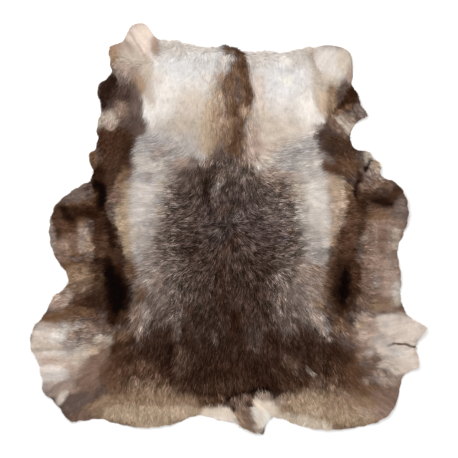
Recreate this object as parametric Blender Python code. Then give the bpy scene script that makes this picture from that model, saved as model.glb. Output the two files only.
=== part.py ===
# A reindeer hide lying flat on a surface with its hair up.
# The neck end points along +Y, the tail along -Y, and +Z is up. The origin is on the
# surface, under the middle of the hide's outline.
# The skin and the coat that grows on it are one solid: a slab with the hide's outline,
# as thick as the hair is deep, thin at the legs and the rim, with lumps where the hair
# gathers and locks round the rim. Its underside is flat, and lifts in soft waves at the rim.

import math
import random

import bmesh
import bpy
import numpy as np
from mathutils import Vector, kdtree, noise
from mathutils.geometry import delaunay_2d_cdt

CM = 0.01
MM = 0.001

SKIN_THICKNESS = 2.0 * MM
RIM_THICKNESS = 3.5 * MM  # the skin's cut edge with the hair that hangs over it
RIM_STEP = 9.0 * MM  # distance between the rim's points
CURVE_STEPS = 24  # points worked out between two of an outline's, before they are spaced evenly
LOCK_STEPS = 4  # rim points in each lock
LOCK_LENGTHS = (0.5, 1.3)  # shortest and longest lock, as a share of a stretch's own
RIM_RINGS = ((9.0 * MM, 2), (21.0 * MM, 3))  # distance in from the rim, and a point at every nth rim point
TOP_GRID = 21.0 * MM  # distance between the points of the coat's surface
UNDERSIDE_GRID = 46.0 * MM
OVAL_FLAT = 0.26  # share of a soft oval's radius that is level
LIFT_LOST = 0.7 * MM  # the skin's weight presses the lowest waves flat on the surface
BASE_PILE = 30.0 * MM
SWELL_SIZE = 105.0 * MM
SWELL_HEIGHT = 0.16  # as a share of the hair's depth
TUFT_LENGTH = 80.0 * MM  # the way the hair lies
TUFT_WIDTH = 44.0 * MM
TUFT_HEIGHT = 0.26
SPINE_WIDTH = 24.0 * CM  # over it the hair lies towards the tail, and beside it towards the legs
SEED = 11

# The outline in centimetres, clockwise from the neck. A stretch is one smooth curve from its
# first point to the next stretch's first point, and two stretches meet at a corner.
# locks: how far the locks stand out from the rim, in millimetres.
# reach: how far in from the rim the coat gets its full depth, in centimetres.
RIM = (
    # name, locks, reach, points (x, y)
    ("left cheek tab", 0, 2.5, ((-30.9, 54.8), (-29.6, 57.4), (-28.6, 59.1), (-26.8, 59.9),
                                (-24.6, 59.8), (-23.2, 57.8), (-21.5, 55.8))),
    ("neck edge", 6, 2.2, ((-20.0, 55.3), (-15.5, 55.0), (-11.4, 53.7), (-4.7, 53.1), (-0.5, 53.6),
                           (4.0, 52.0), (11.3, 51.9), (14.8, 51.2), (21.5, 52.8))),
    ("right cheek tab", 0, 2.5, ((24.8, 53.0), (26.6, 53.5), (29.6, 53.5), (33.1, 52.7),
                                 (35.2, 51.2), (35.8, 48.5), (36.0, 44.6))),
    ("right neck side", 4, 3.0, ((35.5, 42.7), (37.1, 40.2), (38.0, 37.5))),
    ("right neck point", 0, 3.0, ((38.1, 36.0), (39.3, 34.7))),
    ("right shoulder", 0, 3.0, ((40.3, 33.1), (37.2, 31.4), (35.3, 28.0), (35.8, 24.6),
                                (37.5, 23.0), (40.6, 22.6))),
    ("right elbow tab", 0, 2.5, ((42.0, 20.3), (43.6, 19.4), (44.1, 18.0), (43.7, 16.8))),
    ("right foreleg", 4, 4.0, ((44.3, 15.2), (48.0, 13.8), (50.3, 11.5), (51.6, 8.0), (52.1, 4.3),
                               (51.3, 0.5), (49.1, -6.0), (49.6, -11.0), (50.1, -15.5),
                               (49.7, -19.0), (50.5, -22.2), (51.9, -25.1))),
    ("right stifle point", 0, 3.0, ((53.4, -26.8), (55.5, -27.7))),
    ("right stifle", 0, 3.0, ((57.7, -28.9), (55.7, -31.1))),
    ("right hind leg", 4, 3.0, ((54.4, -33.3), (54.4, -35.3), (55.1, -37.8))),
    ("right rump", 3, 5.0, ((55.0, -40.3), (51.9, -41.6), (50.3, -43.9), (49.6, -47.5),
                            (48.7, -50.8), (46.6, -53.9), (43.6, -55.9), (39.4, -57.4),
                            (32.2, -58.4), (25.0, -58.2), (19.5, -57.0), (16.0, -55.5),
                            (13.4, -54.7), (11.6, -55.5), (10.7, -57.2))),
    ("tail", 6, 2.0, ((9.6, -59.9), (6.1, -59.0), (3.1, -57.6))),
    ("left rump", 3, 5.0, ((1.1, -56.3), (-2.5, -55.9), (-7.5, -54.5), (-11.0, -54.7),
                           (-15.5, -56.6), (-21.5, -57.7), (-27.0, -57.8), (-33.5, -56.6),
                           (-38.0, -55.3), (-42.5, -55.8), (-46.2, -55.9))),
    ("left hind leg", 4, 3.0, ((-47.8, -54.8), (-49.2, -52.6), (-52.1, -49.4))),
    ("left stifle", 4, 3.0, ((-54.6, -47.3), (-54.3, -44.6), (-55.1, -41.7), (-55.9, -38.4),
                             (-57.3, -35.4), (-57.8, -32.5), (-56.9, -28.9), (-54.6, -26.0),
                             (-52.6, -22.5), (-51.5, -20.0), (-49.2, -18.4), (-47.2, -16.3))),
    ("left foreleg", 4, 4.0, ((-46.7, -14.6), (-47.5, -12.6), (-49.6, -10.0), (-51.3, -6.5),
                              (-52.2, -1.5), (-51.7, 3.4), (-50.0, 7.5), (-47.0, 10.3),
                              (-43.3, 12.6), (-40.9, 13.8), (-39.7, 16.5), (-40.2, 18.5),
                              (-41.0, 20.7))),
    ("left shoulder", 4, 3.0, ((-40.7, 22.3), (-38.9, 23.6), (-38.3, 27.0), (-38.7, 29.6),
                               (-37.9, 32.5), (-37.3, 35.1), (-37.8, 38.0), (-38.4, 40.5),
                               (-37.5, 42.6), (-35.6, 44.0), (-34.5, 45.5), (-34.5, 48.0),
                               (-35.1, 51.0))),
    ("left neck corner", 0, 2.5, ((-34.9, 53.5), (-32.8, 54.2))),
)

# How deep the coat lies. Each patch is a soft oval laid over those before it.
PILE = (
    # name, x, y, half width, half length in cm, turn in degrees, depth in mm
    ("neck", 0, 40, 36, 22, 0, 25),
    ("mane", 3, 36, 6, 20, 0, 33),
    ("shoulders", 0, 20, 34, 14, 0, 32),
    ("back", 0, 2, 34, 44, 0, 42),
    ("left flank", -28, 3, 11, 30, 3, 47),
    ("right flank", 29, 3, 11, 30, -3, 47),
    ("rump", 0, -38, 42, 22, 0, 40),
    ("left foreleg", -46, -3, 13, 22, 0, 15),
    ("right foreleg", 46, -4, 12, 24, 0, 15),
    ("left stifle", -50, -36, 17, 20, 0, 17),
    ("right stifle", 51, -36, 15, 20, 0, 17),
    ("left hollow", -35, -6, 8, 28, 6, 13),
    ("left hollow, deepest", -34, -16, 6, 14, 8, 6),
    ("right hollow", 35, -4, 7, 28, -3, 13),
    ("right hollow, deepest", 35, -15, 6, 13, 0, 6),
    ("left neck side", -36, 33, 10, 20, 0, 12),
    ("right neck side", 36, 32, 9, 20, 0, 12),
    ("left cheek tab", -27, 57, 9, 9, 0, 7),
    ("right cheek tab", 31, 49, 9, 9, 0, 8),
    ("left rump edge", -27, -54, 28, 9, 0, 24),
    ("right rump edge", 29, -54, 28, 9, 0, 24),
    ("left armpit", -37.5, 11.5, 6, 7, -20, 6),
    ("right armpit", 37.5, 15, 4, 10, -32, 7),
    ("right foreleg crease", 45, 9, 9, 4, -10, 7),
    ("left foreleg crease", -47, 4.5, 6, 7, 20, 8),
    ("right hind leg crease", 51, -33.5, 9, 2.6, -4, 9),
    ("parting", -7, 18, 3, 9, 0, 32),
    ("whorl", 0, 0, 7, 7, 0, 33),
    ("tail root", 3, -47.5, 13, 3.2, -7, 20),
    ("tail", 5.5, -54, 4.5, 10, 28, 34),
)

# Where the skin lifts off the surface: soft oval swells, most of them at the rim.
LIFTS = (
    # name, x, y, half width, half length in cm, turn in degrees, height in mm
    ("left cheek tab", -26, 61, 11, 10, 0, 11),
    ("left neck side", -41, 41, 10, 13, 0, 15),
    ("neck edge, left", -9, 57, 12, 8, 0, 6),
    ("neck edge, right", 18, 55, 10, 8, 0, 5),
    ("right cheek tab", 33, 53, 8, 12, 0, 12),
    ("right neck point", 42, 36, 10, 8, 0, 17),
    ("left elbow", -44, 21, 9, 8, 0, 9),
    ("right elbow", 45, 21, 8, 7, 0, 12),
    ("left foreleg", -57, 1, 14, 18, 0, 24),
    ("left foreleg, lower", -52, -15, 9, 7, 0, 8),
    ("right foreleg, upper", 57, 8, 14, 14, 0, 22),
    ("right foreleg, lower", 55, -13, 11, 11, 0, 12),
    ("left stifle", -63, -32, 15, 12, 0, 20),
    ("left stifle, lower", -59, -46, 11, 8, 0, 10),
    ("right stifle", 61, -28, 12, 9, 20, 21),
    ("right hind leg", 59, -41, 11, 7, 0, 14),
    ("left hind leg", -50, -58, 11, 9, 40, 9),
    ("right hind leg, lower", 50, -58, 13, 10, -40, 12),
    ("left rump", -22, -61, 15, 9, 0, 8),
    ("right rump", 30, -62, 15, 9, 0, 9),
)

COAT_COLOUR = (0.22, 0.17, 0.14, 1.0)
COAT_ROUGHNESS = 0.85


def smooth_step(share):
    share = np.clip(share, 0.0, 1.0)
    return share * share * (3.0 - 2.0 * share)


def oval_weight(oval, x, y):
    # 1 over the level middle of a soft oval, falling smoothly to 0 at its border.
    _, middle_x, middle_y, half_width, half_length, turn, _ = oval
    cosine, sine = math.cos(math.radians(turn)), math.sin(math.radians(turn))
    dx, dy = x - middle_x * CM, y - middle_y * CM
    across = (dx * cosine + dy * sine) / (half_width * CM)
    along = (dy * cosine - dx * sine) / (half_length * CM)
    return smooth_step((1.0 - np.hypot(across, along)) / (1.0 - OVAL_FLAT))


def pile_depth(x, y):
    depth = np.full(np.shape(x), BASE_PILE)
    for oval in PILE:
        depth = depth + oval_weight(oval, x, y) * (oval[-1] * MM - depth)
    return depth


def skin_lift(x, y):
    lift = sum(oval_weight(oval, x, y) * oval[-1] * MM for oval in LIFTS)
    return np.maximum(lift - LIFT_LOST, 0.0)


def lump(x, y):
    # How far a swell and a tuft lift the coat at one place, as a share of its depth.
    sideways = float(smooth_step((abs(x) - 0.4 * SPINE_WIDTH) / (0.6 * SPINE_WIDTH)))
    towards_tail = noise.noise(Vector((x / TUFT_WIDTH, y / TUFT_LENGTH, 0.0)))
    towards_legs = noise.noise(Vector((x / TUFT_LENGTH, y / TUFT_WIDTH, SEED)))
    swell = noise.noise(Vector((x / SWELL_SIZE, y / SWELL_SIZE, 2.0 * SEED)))
    tuft = towards_tail + sideways * (towards_legs - towards_tail)
    return SWELL_HEIGHT * swell + TUFT_HEIGHT * tuft


def smooth_run(points):
    # Points at even steps along the smooth curve through the given ones, without its last.
    slopes = np.gradient(points, axis=0)
    fine = []
    for start, stop, leaving, arriving in zip(points, points[1:], slopes, slopes[1:]):
        for t in np.linspace(0.0, 1.0, CURVE_STEPS, endpoint=False):
            fine.append(
                (2 * t**3 - 3 * t**2 + 1) * start
                + (3 * t**2 - 2 * t**3) * stop
                + (t**3 - 2 * t**2 + t) * leaving
                + (t**3 - t**2) * arriving
            )
    fine = np.array(fine + [points[-1]])
    travelled = np.concatenate([[0.0], np.cumsum(np.hypot(*np.diff(fine, axis=0).T))])
    count = max(2, round(travelled[-1] / RIM_STEP))
    places = np.linspace(0.0, travelled[-1], count, endpoint=False)
    return np.stack([np.interp(places, travelled, fine[:, axis]) for axis in (0, 1)], axis=1)


def rim_curve():
    # The rim's points, anticlockwise, with the depth of the locks and the reach at each.
    points, locks, reach = [], [], []
    for row, following in zip(RIM, RIM[1:] + RIM[:1]):
        _, row_locks, row_reach, places = row
        run = smooth_run(np.array(places + following[3][:1]) * CM)
        points.extend(run)
        locks.extend([row_locks * MM] * len(run))
        reach.extend([row_reach * CM] * len(run))
    return np.array(points)[::-1], np.array(locks)[::-1], np.array(reach)[::-1]


def outward_normals(rim):
    along = np.roll(rim, -1, axis=0) - np.roll(rim, 1, axis=0)
    along /= np.hypot(*along.T)[:, None]
    return np.stack([along[:, 1], -along[:, 0]], axis=1)


def rim_with_locks(rim, locks):
    # Each lock stands out to a point, half beyond the outline, and differs from its neighbours.
    rng = random.Random(SEED)
    out = np.zeros(len(rim))
    for first in range(0, len(rim) - LOCK_STEPS, LOCK_STEPS):
        length = rng.uniform(*LOCK_LENGTHS)
        for step in range(LOCK_STEPS):
            share = 1.0 - abs(2.0 * step / LOCK_STEPS - 1.0)
            out[first + step] = (share * length - 0.5) * locks[first + step]
    return rim + outward_normals(rim) * out[:, None]


def nearest_on_rim(rim):
    tree = kdtree.KDTree(len(rim))
    for i, (x, y) in enumerate(rim):
        tree.insert((x, y, 0.0), i)
    tree.balance()
    return tree


def inner_points(rim, tree, grid):
    # Rings that follow the rim, then staggered rows over the rest of the hide.
    inward = -outward_normals(rim)
    points = []
    for distance, stride in RIM_RINGS:
        for i in range(0, len(rim), stride):
            x, y = rim[i] + inward[i] * distance
            # In a narrow corner a ring's point would come nearer to the rim's other side.
            if tree.find((x, y, 0.0))[2] > distance - 0.1 * RIM_STEP:
                points.append((x, y))
    clear = RIM_RINGS[-1][0] + grid / 2.0
    low, high = rim.min(axis=0), rim.max(axis=0)
    row_step = grid * math.sqrt(3.0) / 2.0
    for row, y in enumerate(np.arange(low[1], high[1], row_step)):
        for x in np.arange(low[0] + (row % 2) * grid / 2.0, high[0], grid):
            if inside(rim, x, y) and tree.find((x, y, 0.0))[2] > clear:
                points.append((x, y))
    return points


def inside(rim, x, y):
    ahead = np.roll(rim, -1, axis=0)
    crosses = (rim[:, 1] > y) != (ahead[:, 1] > y)
    start, stop = rim[crosses], ahead[crosses]
    where = start[:, 0] + (y - start[:, 1]) / (stop[:, 1] - start[:, 1]) * (stop[:, 0] - start[:, 0])
    return np.count_nonzero(where > x) % 2 == 1


def sheet(rim, tree, grid):
    # The outline filled with triangles: the rim's points first, then the inner ones.
    points = [Vector(p) for p in rim] + [Vector(p) for p in inner_points(rim, tree, grid)]
    edges = [(i, (i + 1) % len(rim)) for i in range(len(rim))]
    verts, _, faces, *_ = delaunay_2d_cdt(points, edges, [], 1, 1e-6)
    return np.array([v[:] for v in verts]), faces


def coat_height(places, reach, tree):
    # Height of the coat's surface above the skin's underside.
    depth = pile_depth(places[:, 0], places[:, 1])
    found = [tree.find((x, y, 0.0)) for x, y in places]
    distance = np.array([f[2] for f in found])
    near_reach = np.array([reach[f[1]] for f in found])
    full = np.sqrt(smooth_step(distance / near_reach))
    depth *= [1.0 + lump(x, y) for x, y in places]
    return RIM_THICKNESS + full * (SKIN_THICKNESS + depth - RIM_THICKNESS)


def add_sheet(mesh, places, heights, faces, upwards):
    verts = [mesh.verts.new((x, y, z)) for (x, y), z in zip(places, heights)]
    for face in faces:
        corners = [verts[i] for i in face]
        mesh.faces.new(corners if upwards else corners[::-1])
    return verts


def build_hide():
    rim, locks, reach = rim_curve()
    rim = rim_with_locks(rim, locks)
    rim -= (rim.min(axis=0) + rim.max(axis=0)) / 2.0
    tree = nearest_on_rim(rim)

    top, top_faces = sheet(rim, tree, TOP_GRID)
    under, under_faces = sheet(rim, tree, UNDERSIDE_GRID)
    top_heights = skin_lift(top[:, 0], top[:, 1]) + coat_height(top, reach, tree)
    under_heights = skin_lift(under[:, 0], under[:, 1])

    mesh = bmesh.new()
    top_verts = add_sheet(mesh, top, top_heights, top_faces, True)
    under_verts = add_sheet(mesh, under, under_heights, under_faces, False)
    for i in range(len(rim)):
        after = (i + 1) % len(rim)
        mesh.faces.new((under_verts[i], under_verts[after], top_verts[after], top_verts[i]))
    bmesh.ops.triangulate(mesh, faces=mesh.faces)

    data = bpy.data.meshes.new("hide")
    mesh.to_mesh(data)
    mesh.free()
    data.shade_smooth()
    return bpy.data.objects.new("hide", data)


def coat_material():
    material = bpy.data.materials.new("reindeer coat")
    material.use_nodes = True
    surface = material.node_tree.nodes["Principled BSDF"]
    surface.inputs["Base Color"].default_value = COAT_COLOUR
    surface.inputs["Roughness"].default_value = COAT_ROUGHNESS
    surface.inputs["Metallic"].default_value = 0.0
    return material


def main():
    for old in list(bpy.data.objects):
        bpy.data.objects.remove(old, do_unlink=True)
    hide = build_hide()
    hide.data.materials.append(coat_material())
    collection = bpy.data.collections.new("reindeer hide")
    bpy.context.scene.collection.children.link(collection)
    collection.objects.link(hide)


main()
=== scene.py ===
# A reindeer hide lying flat with its hair up, neck end towards +Y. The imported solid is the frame.
# Over its shape go the suede skin, the woolly undercoat and the guard hair, blade by blade.
import math

import bmesh
import bpy
import numpy as np
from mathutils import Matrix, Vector, kdtree
from mathutils.bvhtree import BVHTree


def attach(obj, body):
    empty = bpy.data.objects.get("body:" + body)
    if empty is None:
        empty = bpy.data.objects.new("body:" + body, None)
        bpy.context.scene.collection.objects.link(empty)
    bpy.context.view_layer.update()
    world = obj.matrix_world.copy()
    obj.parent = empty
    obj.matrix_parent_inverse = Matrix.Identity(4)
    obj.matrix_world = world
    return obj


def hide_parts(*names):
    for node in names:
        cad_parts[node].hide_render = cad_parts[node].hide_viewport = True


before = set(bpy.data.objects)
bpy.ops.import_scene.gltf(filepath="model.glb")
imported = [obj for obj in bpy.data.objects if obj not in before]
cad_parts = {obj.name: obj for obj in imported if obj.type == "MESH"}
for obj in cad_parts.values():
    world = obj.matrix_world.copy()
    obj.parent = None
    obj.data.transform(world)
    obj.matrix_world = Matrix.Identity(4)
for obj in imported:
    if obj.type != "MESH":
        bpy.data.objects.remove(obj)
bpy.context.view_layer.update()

cm = 0.01
mm = 0.001

# The coat's colours, as they look in flat light
tones = {
    "snow": (234, 229, 222), "frost": (221, 221, 222), "milk": (236, 225, 214), "chalk": (213, 208, 204),
    "white": (221, 213, 205), "bone": (207, 198, 192), "cream": (227, 212, 196),
    "blush": (205, 188, 177), "pale": (206, 192, 182), "linen": (196, 183, 169),
    "paleGrey": (190, 181, 173), "beige": (209, 193, 175), "oat": (180, 166, 152),
    "straw": (188, 165, 144), "sand": (178, 156, 132), "tan": (161, 135, 113),
    "camel": (142, 117, 95), "fawn": (170, 148, 135), "dust": (156, 136, 125),
    "rose": (142, 119, 106), "clay": (123, 100, 87), "hazel": (122, 96, 76),
    "umber": (108, 83, 64), "chestnut": (92, 68, 53), "bark": (76, 57, 45),
    "walnut": (70, 50, 37), "peat": (62, 46, 37), "cocoa": (59, 41, 30), "loam": (53, 34, 22),
    "silver": (174, 166, 161), "fog": (160, 154, 152), "grey": (146, 133, 126), "mouse": (116, 102, 95),
    "ash": (102, 88, 82), "slate": (91, 77, 72), "dusk": (82, 71, 73), "graphite": (76, 62, 57),
    "charcoal": (66, 54, 49), "coal": (49, 36, 30), "soot": (35, 22, 15), "black": (12, 5, 2),
}
coatLook = {
    "ground": "slate",  # the tone where no marking lies
    "edge": 1.2,  # how soft a border is, as a share of the radius, where the marking's row doesn't say
    "darkLoses": (.20, .43, .58),  # red, green and blue that the darkest hair loses among its neighbours
    "darkBelow": .065,  # brightness at which about a third of that is still lost
}

# The coat's markings in centimetres, each laid over those before it: where it lies, tone, shape,
# strength, and the softness of its border where that isn't the usual one. Some rows are painted light,
# not the coat's own colour: painted shade in creases, in gaps between locks and parts and on a foreleg
# fold, painted shade over the flanks' own dark stripe in the flank hollows, the painted shadow under
# the rump's edge at the tail root, and a painted highlight on a fold. A shape is an oval,
# (x, y, half width, half length) with a turn in degrees if it has one, or a band through points
# (x, y, half width).
markingsAndPaintedLight = (
    ("back", "graphite", ((-.3, 12.7, 17.5), (-.3, -.4, 21.5), (-.3, -17.8, 21.5), (-.3, -29.5, 21.5)),
        1, .5),
    ("back upper left", "ash", (-12.6, 9.8, 8.7, 9.9), 1, 1.1),
    ("back upper right", "ash", (11.3, 10.7, 9.9, 9.3), 1, 1.1),
    ("back middle", "slate", (-4.1, 4, 11.6, 8.7), .25),
    ("back right", "slate", (12.5, .2, 8.7, 7.6), .8, 1.1),
    ("back lower", "graphite", (-2.7, -13.5, 17.5, 9.9), 1, .9),
    ("back lower right", "peat", (3.1, -20.7, 9.9, 11.6), .4),
    ("left side", "grey", ((-18.7, 9.8, 2.3), (-21.6, -1.8, 4.4), (-23, -11.4, 5.8), (-23, -20.7, 4.7),
        (-23.6, -28, 2.3)), 1, .9),
    ("left side, inner", "mouse", ((-16.6, 6.9, 2.3), (-18.1, -3.3, 2.9), (-17.2, -10.6, 4.4),
        (-16.6, -20.7, 5.8), (-18.4, -27.2, 4.1)), 1, 1.1),
    ("right side", "grey", ((18.9, 9.8, 2.6), (21.5, .2, 4.1), (22.6, -9.7, 4.9), (22.6, -18.4, 5.2),
        (23.5, -24.2, 3.8), (27, -28.3, 1.5)), 1, .9),
    ("right side, inner", "mouse", ((15.9, 8.4, 2.3), (17.7, -3.3, 2.6), (17.1, -14.9, 4.9),
        (17.4, -23.7, 4.7), (16.2, -28.3, 2.9)), 1, 1.1),
    ("right side low", "dust", (25.2, -17.5, 3, 7.5), .5),
    ("rump", "peat", ((-18.7, -33.8, 6.4), (-8.5, -34.3, 8.6), (6.1, -34.3, 9.6), (20.6, -34.3, 6.6)),
        1, .8),
    ("rump middle", "soot", (-1, -30.9, 6.4, 7.6), .25),
    ("rump lower", "cocoa", ((-18.7, -41.7, 4.1), (-7, -44, 5.8), (6.1, -43.4, 5.8), (20.6, -42.3, 4.7),
        (27.9, -40.5, 3.5)), 1, .9),
    ("rump left corner", "bark", (-12.9, -46.2, 7.4, 2.6), 1, 1.1),
    ("rump low", "bark", ((-5, -44.8, 1.3), (1, -45.1, 1.5), (6, -44.8, 1.4)), .9),
    ("rump right low", "chestnut", ((16.5, -44.8, 1.4), (21.3, -44.8, 1.8), (26, -43.6, 1.8)), .8),
    ("rump left", "chestnut", ((-31.8, -35.9, 4.1), (-26, -40.5, 4.7), (-20.1, -45.5, 2.9)), 1, 1.1),
    ("rump left dark", "cocoa", (-26.5, -34.7, 5.2, 4.1), 1, 1.1),
    ("rump right", "chestnut", ((32.2, -43.6, 3.6), (36, -40.6, 3.4), (36.1, -37, 2)), 1, 1.1),
    ("rump right dark", "cocoa", (30.5, -35.8, 5, 3.3, 20), 1, 1.1),
    ("left hem", "camel", ((-39.3, -53.3, 3.2), (-30.3, -51.6, 5.8), (-23, -51, 7), (-14.9, -51.6, 5.2),
        (-8.5, -51.6, 2.9)), 1, .8),
    ("left hem light", "sand", ((-35, -53.8, 2), (-29, -53.6, 2.6), (-20.1, -54.5, 3.2),
        (-13.7, -53.3, 2.3), (-9.7, -53.3, 1.5)), .85, 1.1),
    ("left hem low", "straw", ((-27.1, -57.5, .9), (-20.4, -58, .9), (-16.6, -57.6, .9)), .8),
    ("hem tuft", "cream", ((-7.2, -54, 1.3), (-5.2, -53.4, 2), (-2.7, -53.2, 2.2), (-.4, -53.4, 2),
        (1, -54, 1.4)), 1),
    ("hem tuft rim", "milk", ((-6.8, -56, 1), (-4.8, -56.2, 1.7), (-2.7, -56, 2), (-.2, -56.6, 2),
        (1.8, -57.8, 1.6)), 1, 1.1),
    ("hem middle", "chestnut", ((-8, -49.5, 1.2), (-4, -49.9, 1.4), (-1.4, -50, 1.2)), .9),
    ("right hem", "camel", ((15.9, -52.2, 3.4), (22.1, -51.7, 5.2), (30.8, -52.5, 7.3),
        (39.5, -52.8, 5.8), (46.2, -52.2, 3.8)), 1, .8),
    ("right hem light", "sand", (24.1, -51.6, 6.4, 4.1), .5),
    ("right hem", "beige", ((13.5, -54.9, 1.4), (18.5, -55.9, 2), (24.5, -57, 2), (29, -57.6, 1.4)),
        .9, 1.1),
    ("right hem", "sand", ((30, -54.6, 2), (35, -54.2, 2.8), (40, -55, 2.2)), .45, 1.1),
    ("right hem tuft", "straw", (25.3, -53.4, 2, 1.3), .7),
    ("right hem brown", "rose", ((45.3, -47.5, 2.9), (46.2, -51.3, 2.3), (43.9, -53.3, 2)), 1, .9),
    ("left neck", "chalk", ((-14.3, 53.2, 11.6), (-14.6, 45.6, 11.1), (-16.1, 37.5, 10.8),
        (-16.6, 31, 8.7)), 1, .4),
    ("right neck", "bone", ((15.7, 52, 11.6), (16.2, 41.8, 11.1), (18.3, 36, 10.5), (21.2, 31.6, 7.9)),
        1, .4),
    ("left neck shade", "chalk", (-6.8, 48.5, 4.1, 5.2), .6, 1.1),
    ("left neck bright", "frost", (-11.4, 45.4, 6.4, 7.6), .5),
    ("left neck bright low", "milk", (-19.5, 39.5, 4.2, 6), .25),
    ("left neck edge", "oat", ((-23.4, 48.2, 1.6), (-23.4, 44.6, 1.9), (-23.2, 40.4, 1.7),
        (-22.6, 37.8, 1.4)), .75, 1.3),
    ("right neck bright", "frost", (15.6, 44.6, 6.8, 6), .7),
    ("right neck bright low", "snow", (22.4, 35.6, 3.3, 4), .7),
    ("left neck", "linen", (-9.7, 34, 5.8, 8.7, -10), 1, 1.1),
    ("left neck low", "oat", (-13.4, 29, 8.4, 4.6), .9, 1.1),
    ("left neck foot", "silver", (-19.8, 27, 4.2, 3.6), .8),
    ("right neck", "linen", ((9.5, 33.5, 2.6), (9.8, 30.2, 4.4), (11.3, 25.8, 5.2), (9.5, 21.4, 4.1)),
        1, .9),
    ("right neck", "linen", (16.2, 29.3, 5.8, 4.7), .8),
    ("right neck low", "paleGrey", (20.6, 25.2, 5.2, 2.9), .7, 1.1),
    ("right neck shade", "oat", (17.4, 24.7, 4.6, 1.7), .8),
    ("neck top left", "paleGrey", ((-21.2, 55.2, 1.2), (-18.6, 54.2, 2), (-15.8, 52.6, 2),
        (-11.4, 53.2, 1.7), (-5, 52.3, 1.4)), .8),
    ("neck top right", "paleGrey", ((9.5, 50.8, 1.5), (15.4, 50.3, 1.7), (22.1, 50.3, 2.6)), .5),
    ("right neck corner", "oat", (25.2, 51.3, 1.8, 1.4), .8, 1.1),
    ("left shoulder", "silver", ((-25.4, 25.2, 2.6), (-22.5, 22.3, 4.1), (-18.7, 22.9, 4.1),
        (-13.7, 22.9, 3.5), (-8.5, 22.3, 2.6)), 1, .8),
    ("left shoulder, inner", "silver", (-12.6, 25.8, 4.7, 2.9), .8),
    ("left shoulder", "paleGrey", ((-23.6, 20.6, 3.5), (-22.5, 17.1, 4.1), (-18.7, 15.3, 2.6)), 1, .9),
    ("left shoulder", "silver", ((-24.4, 31, 1), (-23.6, 26.5, 2.3), (-21.3, 22.8, 3)), .9),
    ("left shoulder hollow", "grey", (-20.1, 22, 2.4, 1.8), .9),
    ("left shoulder dark", "mouse", (-10.3, 19.5, 3.8, 1.6), 1, 1.1),
    ("right shoulder", "silver", ((9.5, 19.4, 2.9), (16.2, 20.6, 3.8), (22.1, 22.3, 4.4),
        (25.8, 21.2, 2.6)), 1, .8),
    ("right shoulder, inner", "cream", (9.5, 20, 3.8, 2.6), .5, 1.1),
    ("mane left", "sand", ((-5.2, 37.6, 1.3), (-5.8, 33, 2.2), (-5.8, 24.5, 2.6)), .8),
    ("mane right shade", "blush", ((8.6, 44.5, 1.6), (8.8, 36, 1.9)), .7),
    ("right shoulder", "silver", (17.1, 17.1, 5.8, 2.3), 1, 1.1),
    ("right shoulder", "paleGrey", (22.1, 17.1, 4.1, 3.5), 1, 1.1),
    ("left flank", "bone", ((-23, 14.8, 3.5), (-24.2, 10.1, 4.7), (-26, 4.9, 3.5), (-26.8, -.4, 2.3),
        (-27.1, -5, 1.2)), 1, 1.1),
    ("left flank low", "silver", ((-23, 1.9, 2.6), (-25.4, -3.3, 2.6), (-26.5, -7.9, 2)), .8),
    ("left flank shade", "fog", ((-24.5, 15.3, 1.8), (-21.4, 14.6, 1.6)), .9),
    ("right flank", "bone", ((25.8, 17.7, 2.3), (24.7, 11.3, 4.1), (25.5, 4.9, 3.8), (27, -.4, 2.3),
        (27.6, -4.5, 1.2)), 1, 1.1),
    ("right flank low", "silver", ((23.2, .8, 2.6), (24.1, -4.5, 2.6), (26.4, -7.9, 2)), .8),
    ("right flank", "paleGrey", (22.2, 4.9, 2.6, 7.6), .7),
    ("right flank bright", "white", (25, 9.5, 2.4, 4.2), .7),
    ("left flank edge", "sand", ((-30.6, 12.4, 2.6), (-31.8, 8.4, 3.5), (-30.6, 1.9, 2.9),
        (-29.2, -4.7, 1.7), (-28.4, -8.6, .9)), 1, .8),
    ("left flank edge, outer", "clay", (-32.6, 9.8, 2.6, 3.5), 1, 1.1),
    ("right flank edge", "straw", ((29.6, 16.5, 2), (31.6, 10.7, 3.6), (32, 4.9, 3), (30.4, -.4, 1.5),
        (29.3, -4.2, .9)), 1, .8),
    ("right hollow side", "hazel", ((31.6, -2, 1.2), (30.6, -7.5, 1.5), (29, -12.6, 1.7),
        (28.6, -17.5, 1.8), (28.6, -22.5, 1.8)), .9),
    ("mane left, top", "rose", ((-2.9, 47.4, 1.1), (-3, 44.8, 1.6), (-1.6, 43, 1.2)), .9),
    ("mane left", "straw", ((-2.9, 40.6, 1.5), (-2.9, 36.6, 1.7)), 1),
    ("mane left, low", "tan", ((-3.1, 34, 1.9), (-2.9, 28, 1.8), (-2.6, 24, 1.8)), 1, 1.1),
    ("mane", "hazel", ((2.8, 47.5, 2.2), (2.5, 43.9, 3.8), (2.7, 38.9, 3.9), (1.6, 34, 2.6),
        (.9, 27.3, 2.5), (.3, 22.3, 3.4)), 1, .6),
    ("mane dark", "umber", ((4.3, 48, 1.3), (4.6, 44.8, 1.5), (4.8, 42, 1.3)), 1, 1.1),
    ("mane dark edge", "chestnut", ((5.3, 41.5, 1.1), (6, 38.8, 1.2), (5.4, 36.4, 1)), .9, 1.1),
    ("mane dark low", "chestnut", ((3.2, 36.3, 1.3), (2, 33.7, 1.4), (2.4, 30.2, 1.4), (2.3, 26.4, 1.2),
        (1.4, 23.5, 1.1)), .9, 1.1),
    ("mane light", "camel", (.8, 31.3, 2, 1.5), .8),
    ("mane notch", "tan", (4.9, 34.5, 1.7, 1.7), 1, 1.1),
    ("mane side", "fawn", (7, 25.5, 2.4, 6.5), .9),
    ("mane hook", "chestnut", ((-2.2, 52, .8), (.3, 52.2, .8), (2.6, 51.6, .8), (4.2, 50.8, 1),
        (4.6, 48, .9)), 1, .9),
    ("mane hook light", "bone", ((1.2, 49.9, .8), (-1.3, 50, 1.1), (-1.6, 47.6, 1.8),
        (-3.8, 44.9, 1.6)), 1, 1.1),
    ("neck top notch", "chalk", (-3, 51.3, 1.5, 1.2), .9, 1.1),
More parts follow.
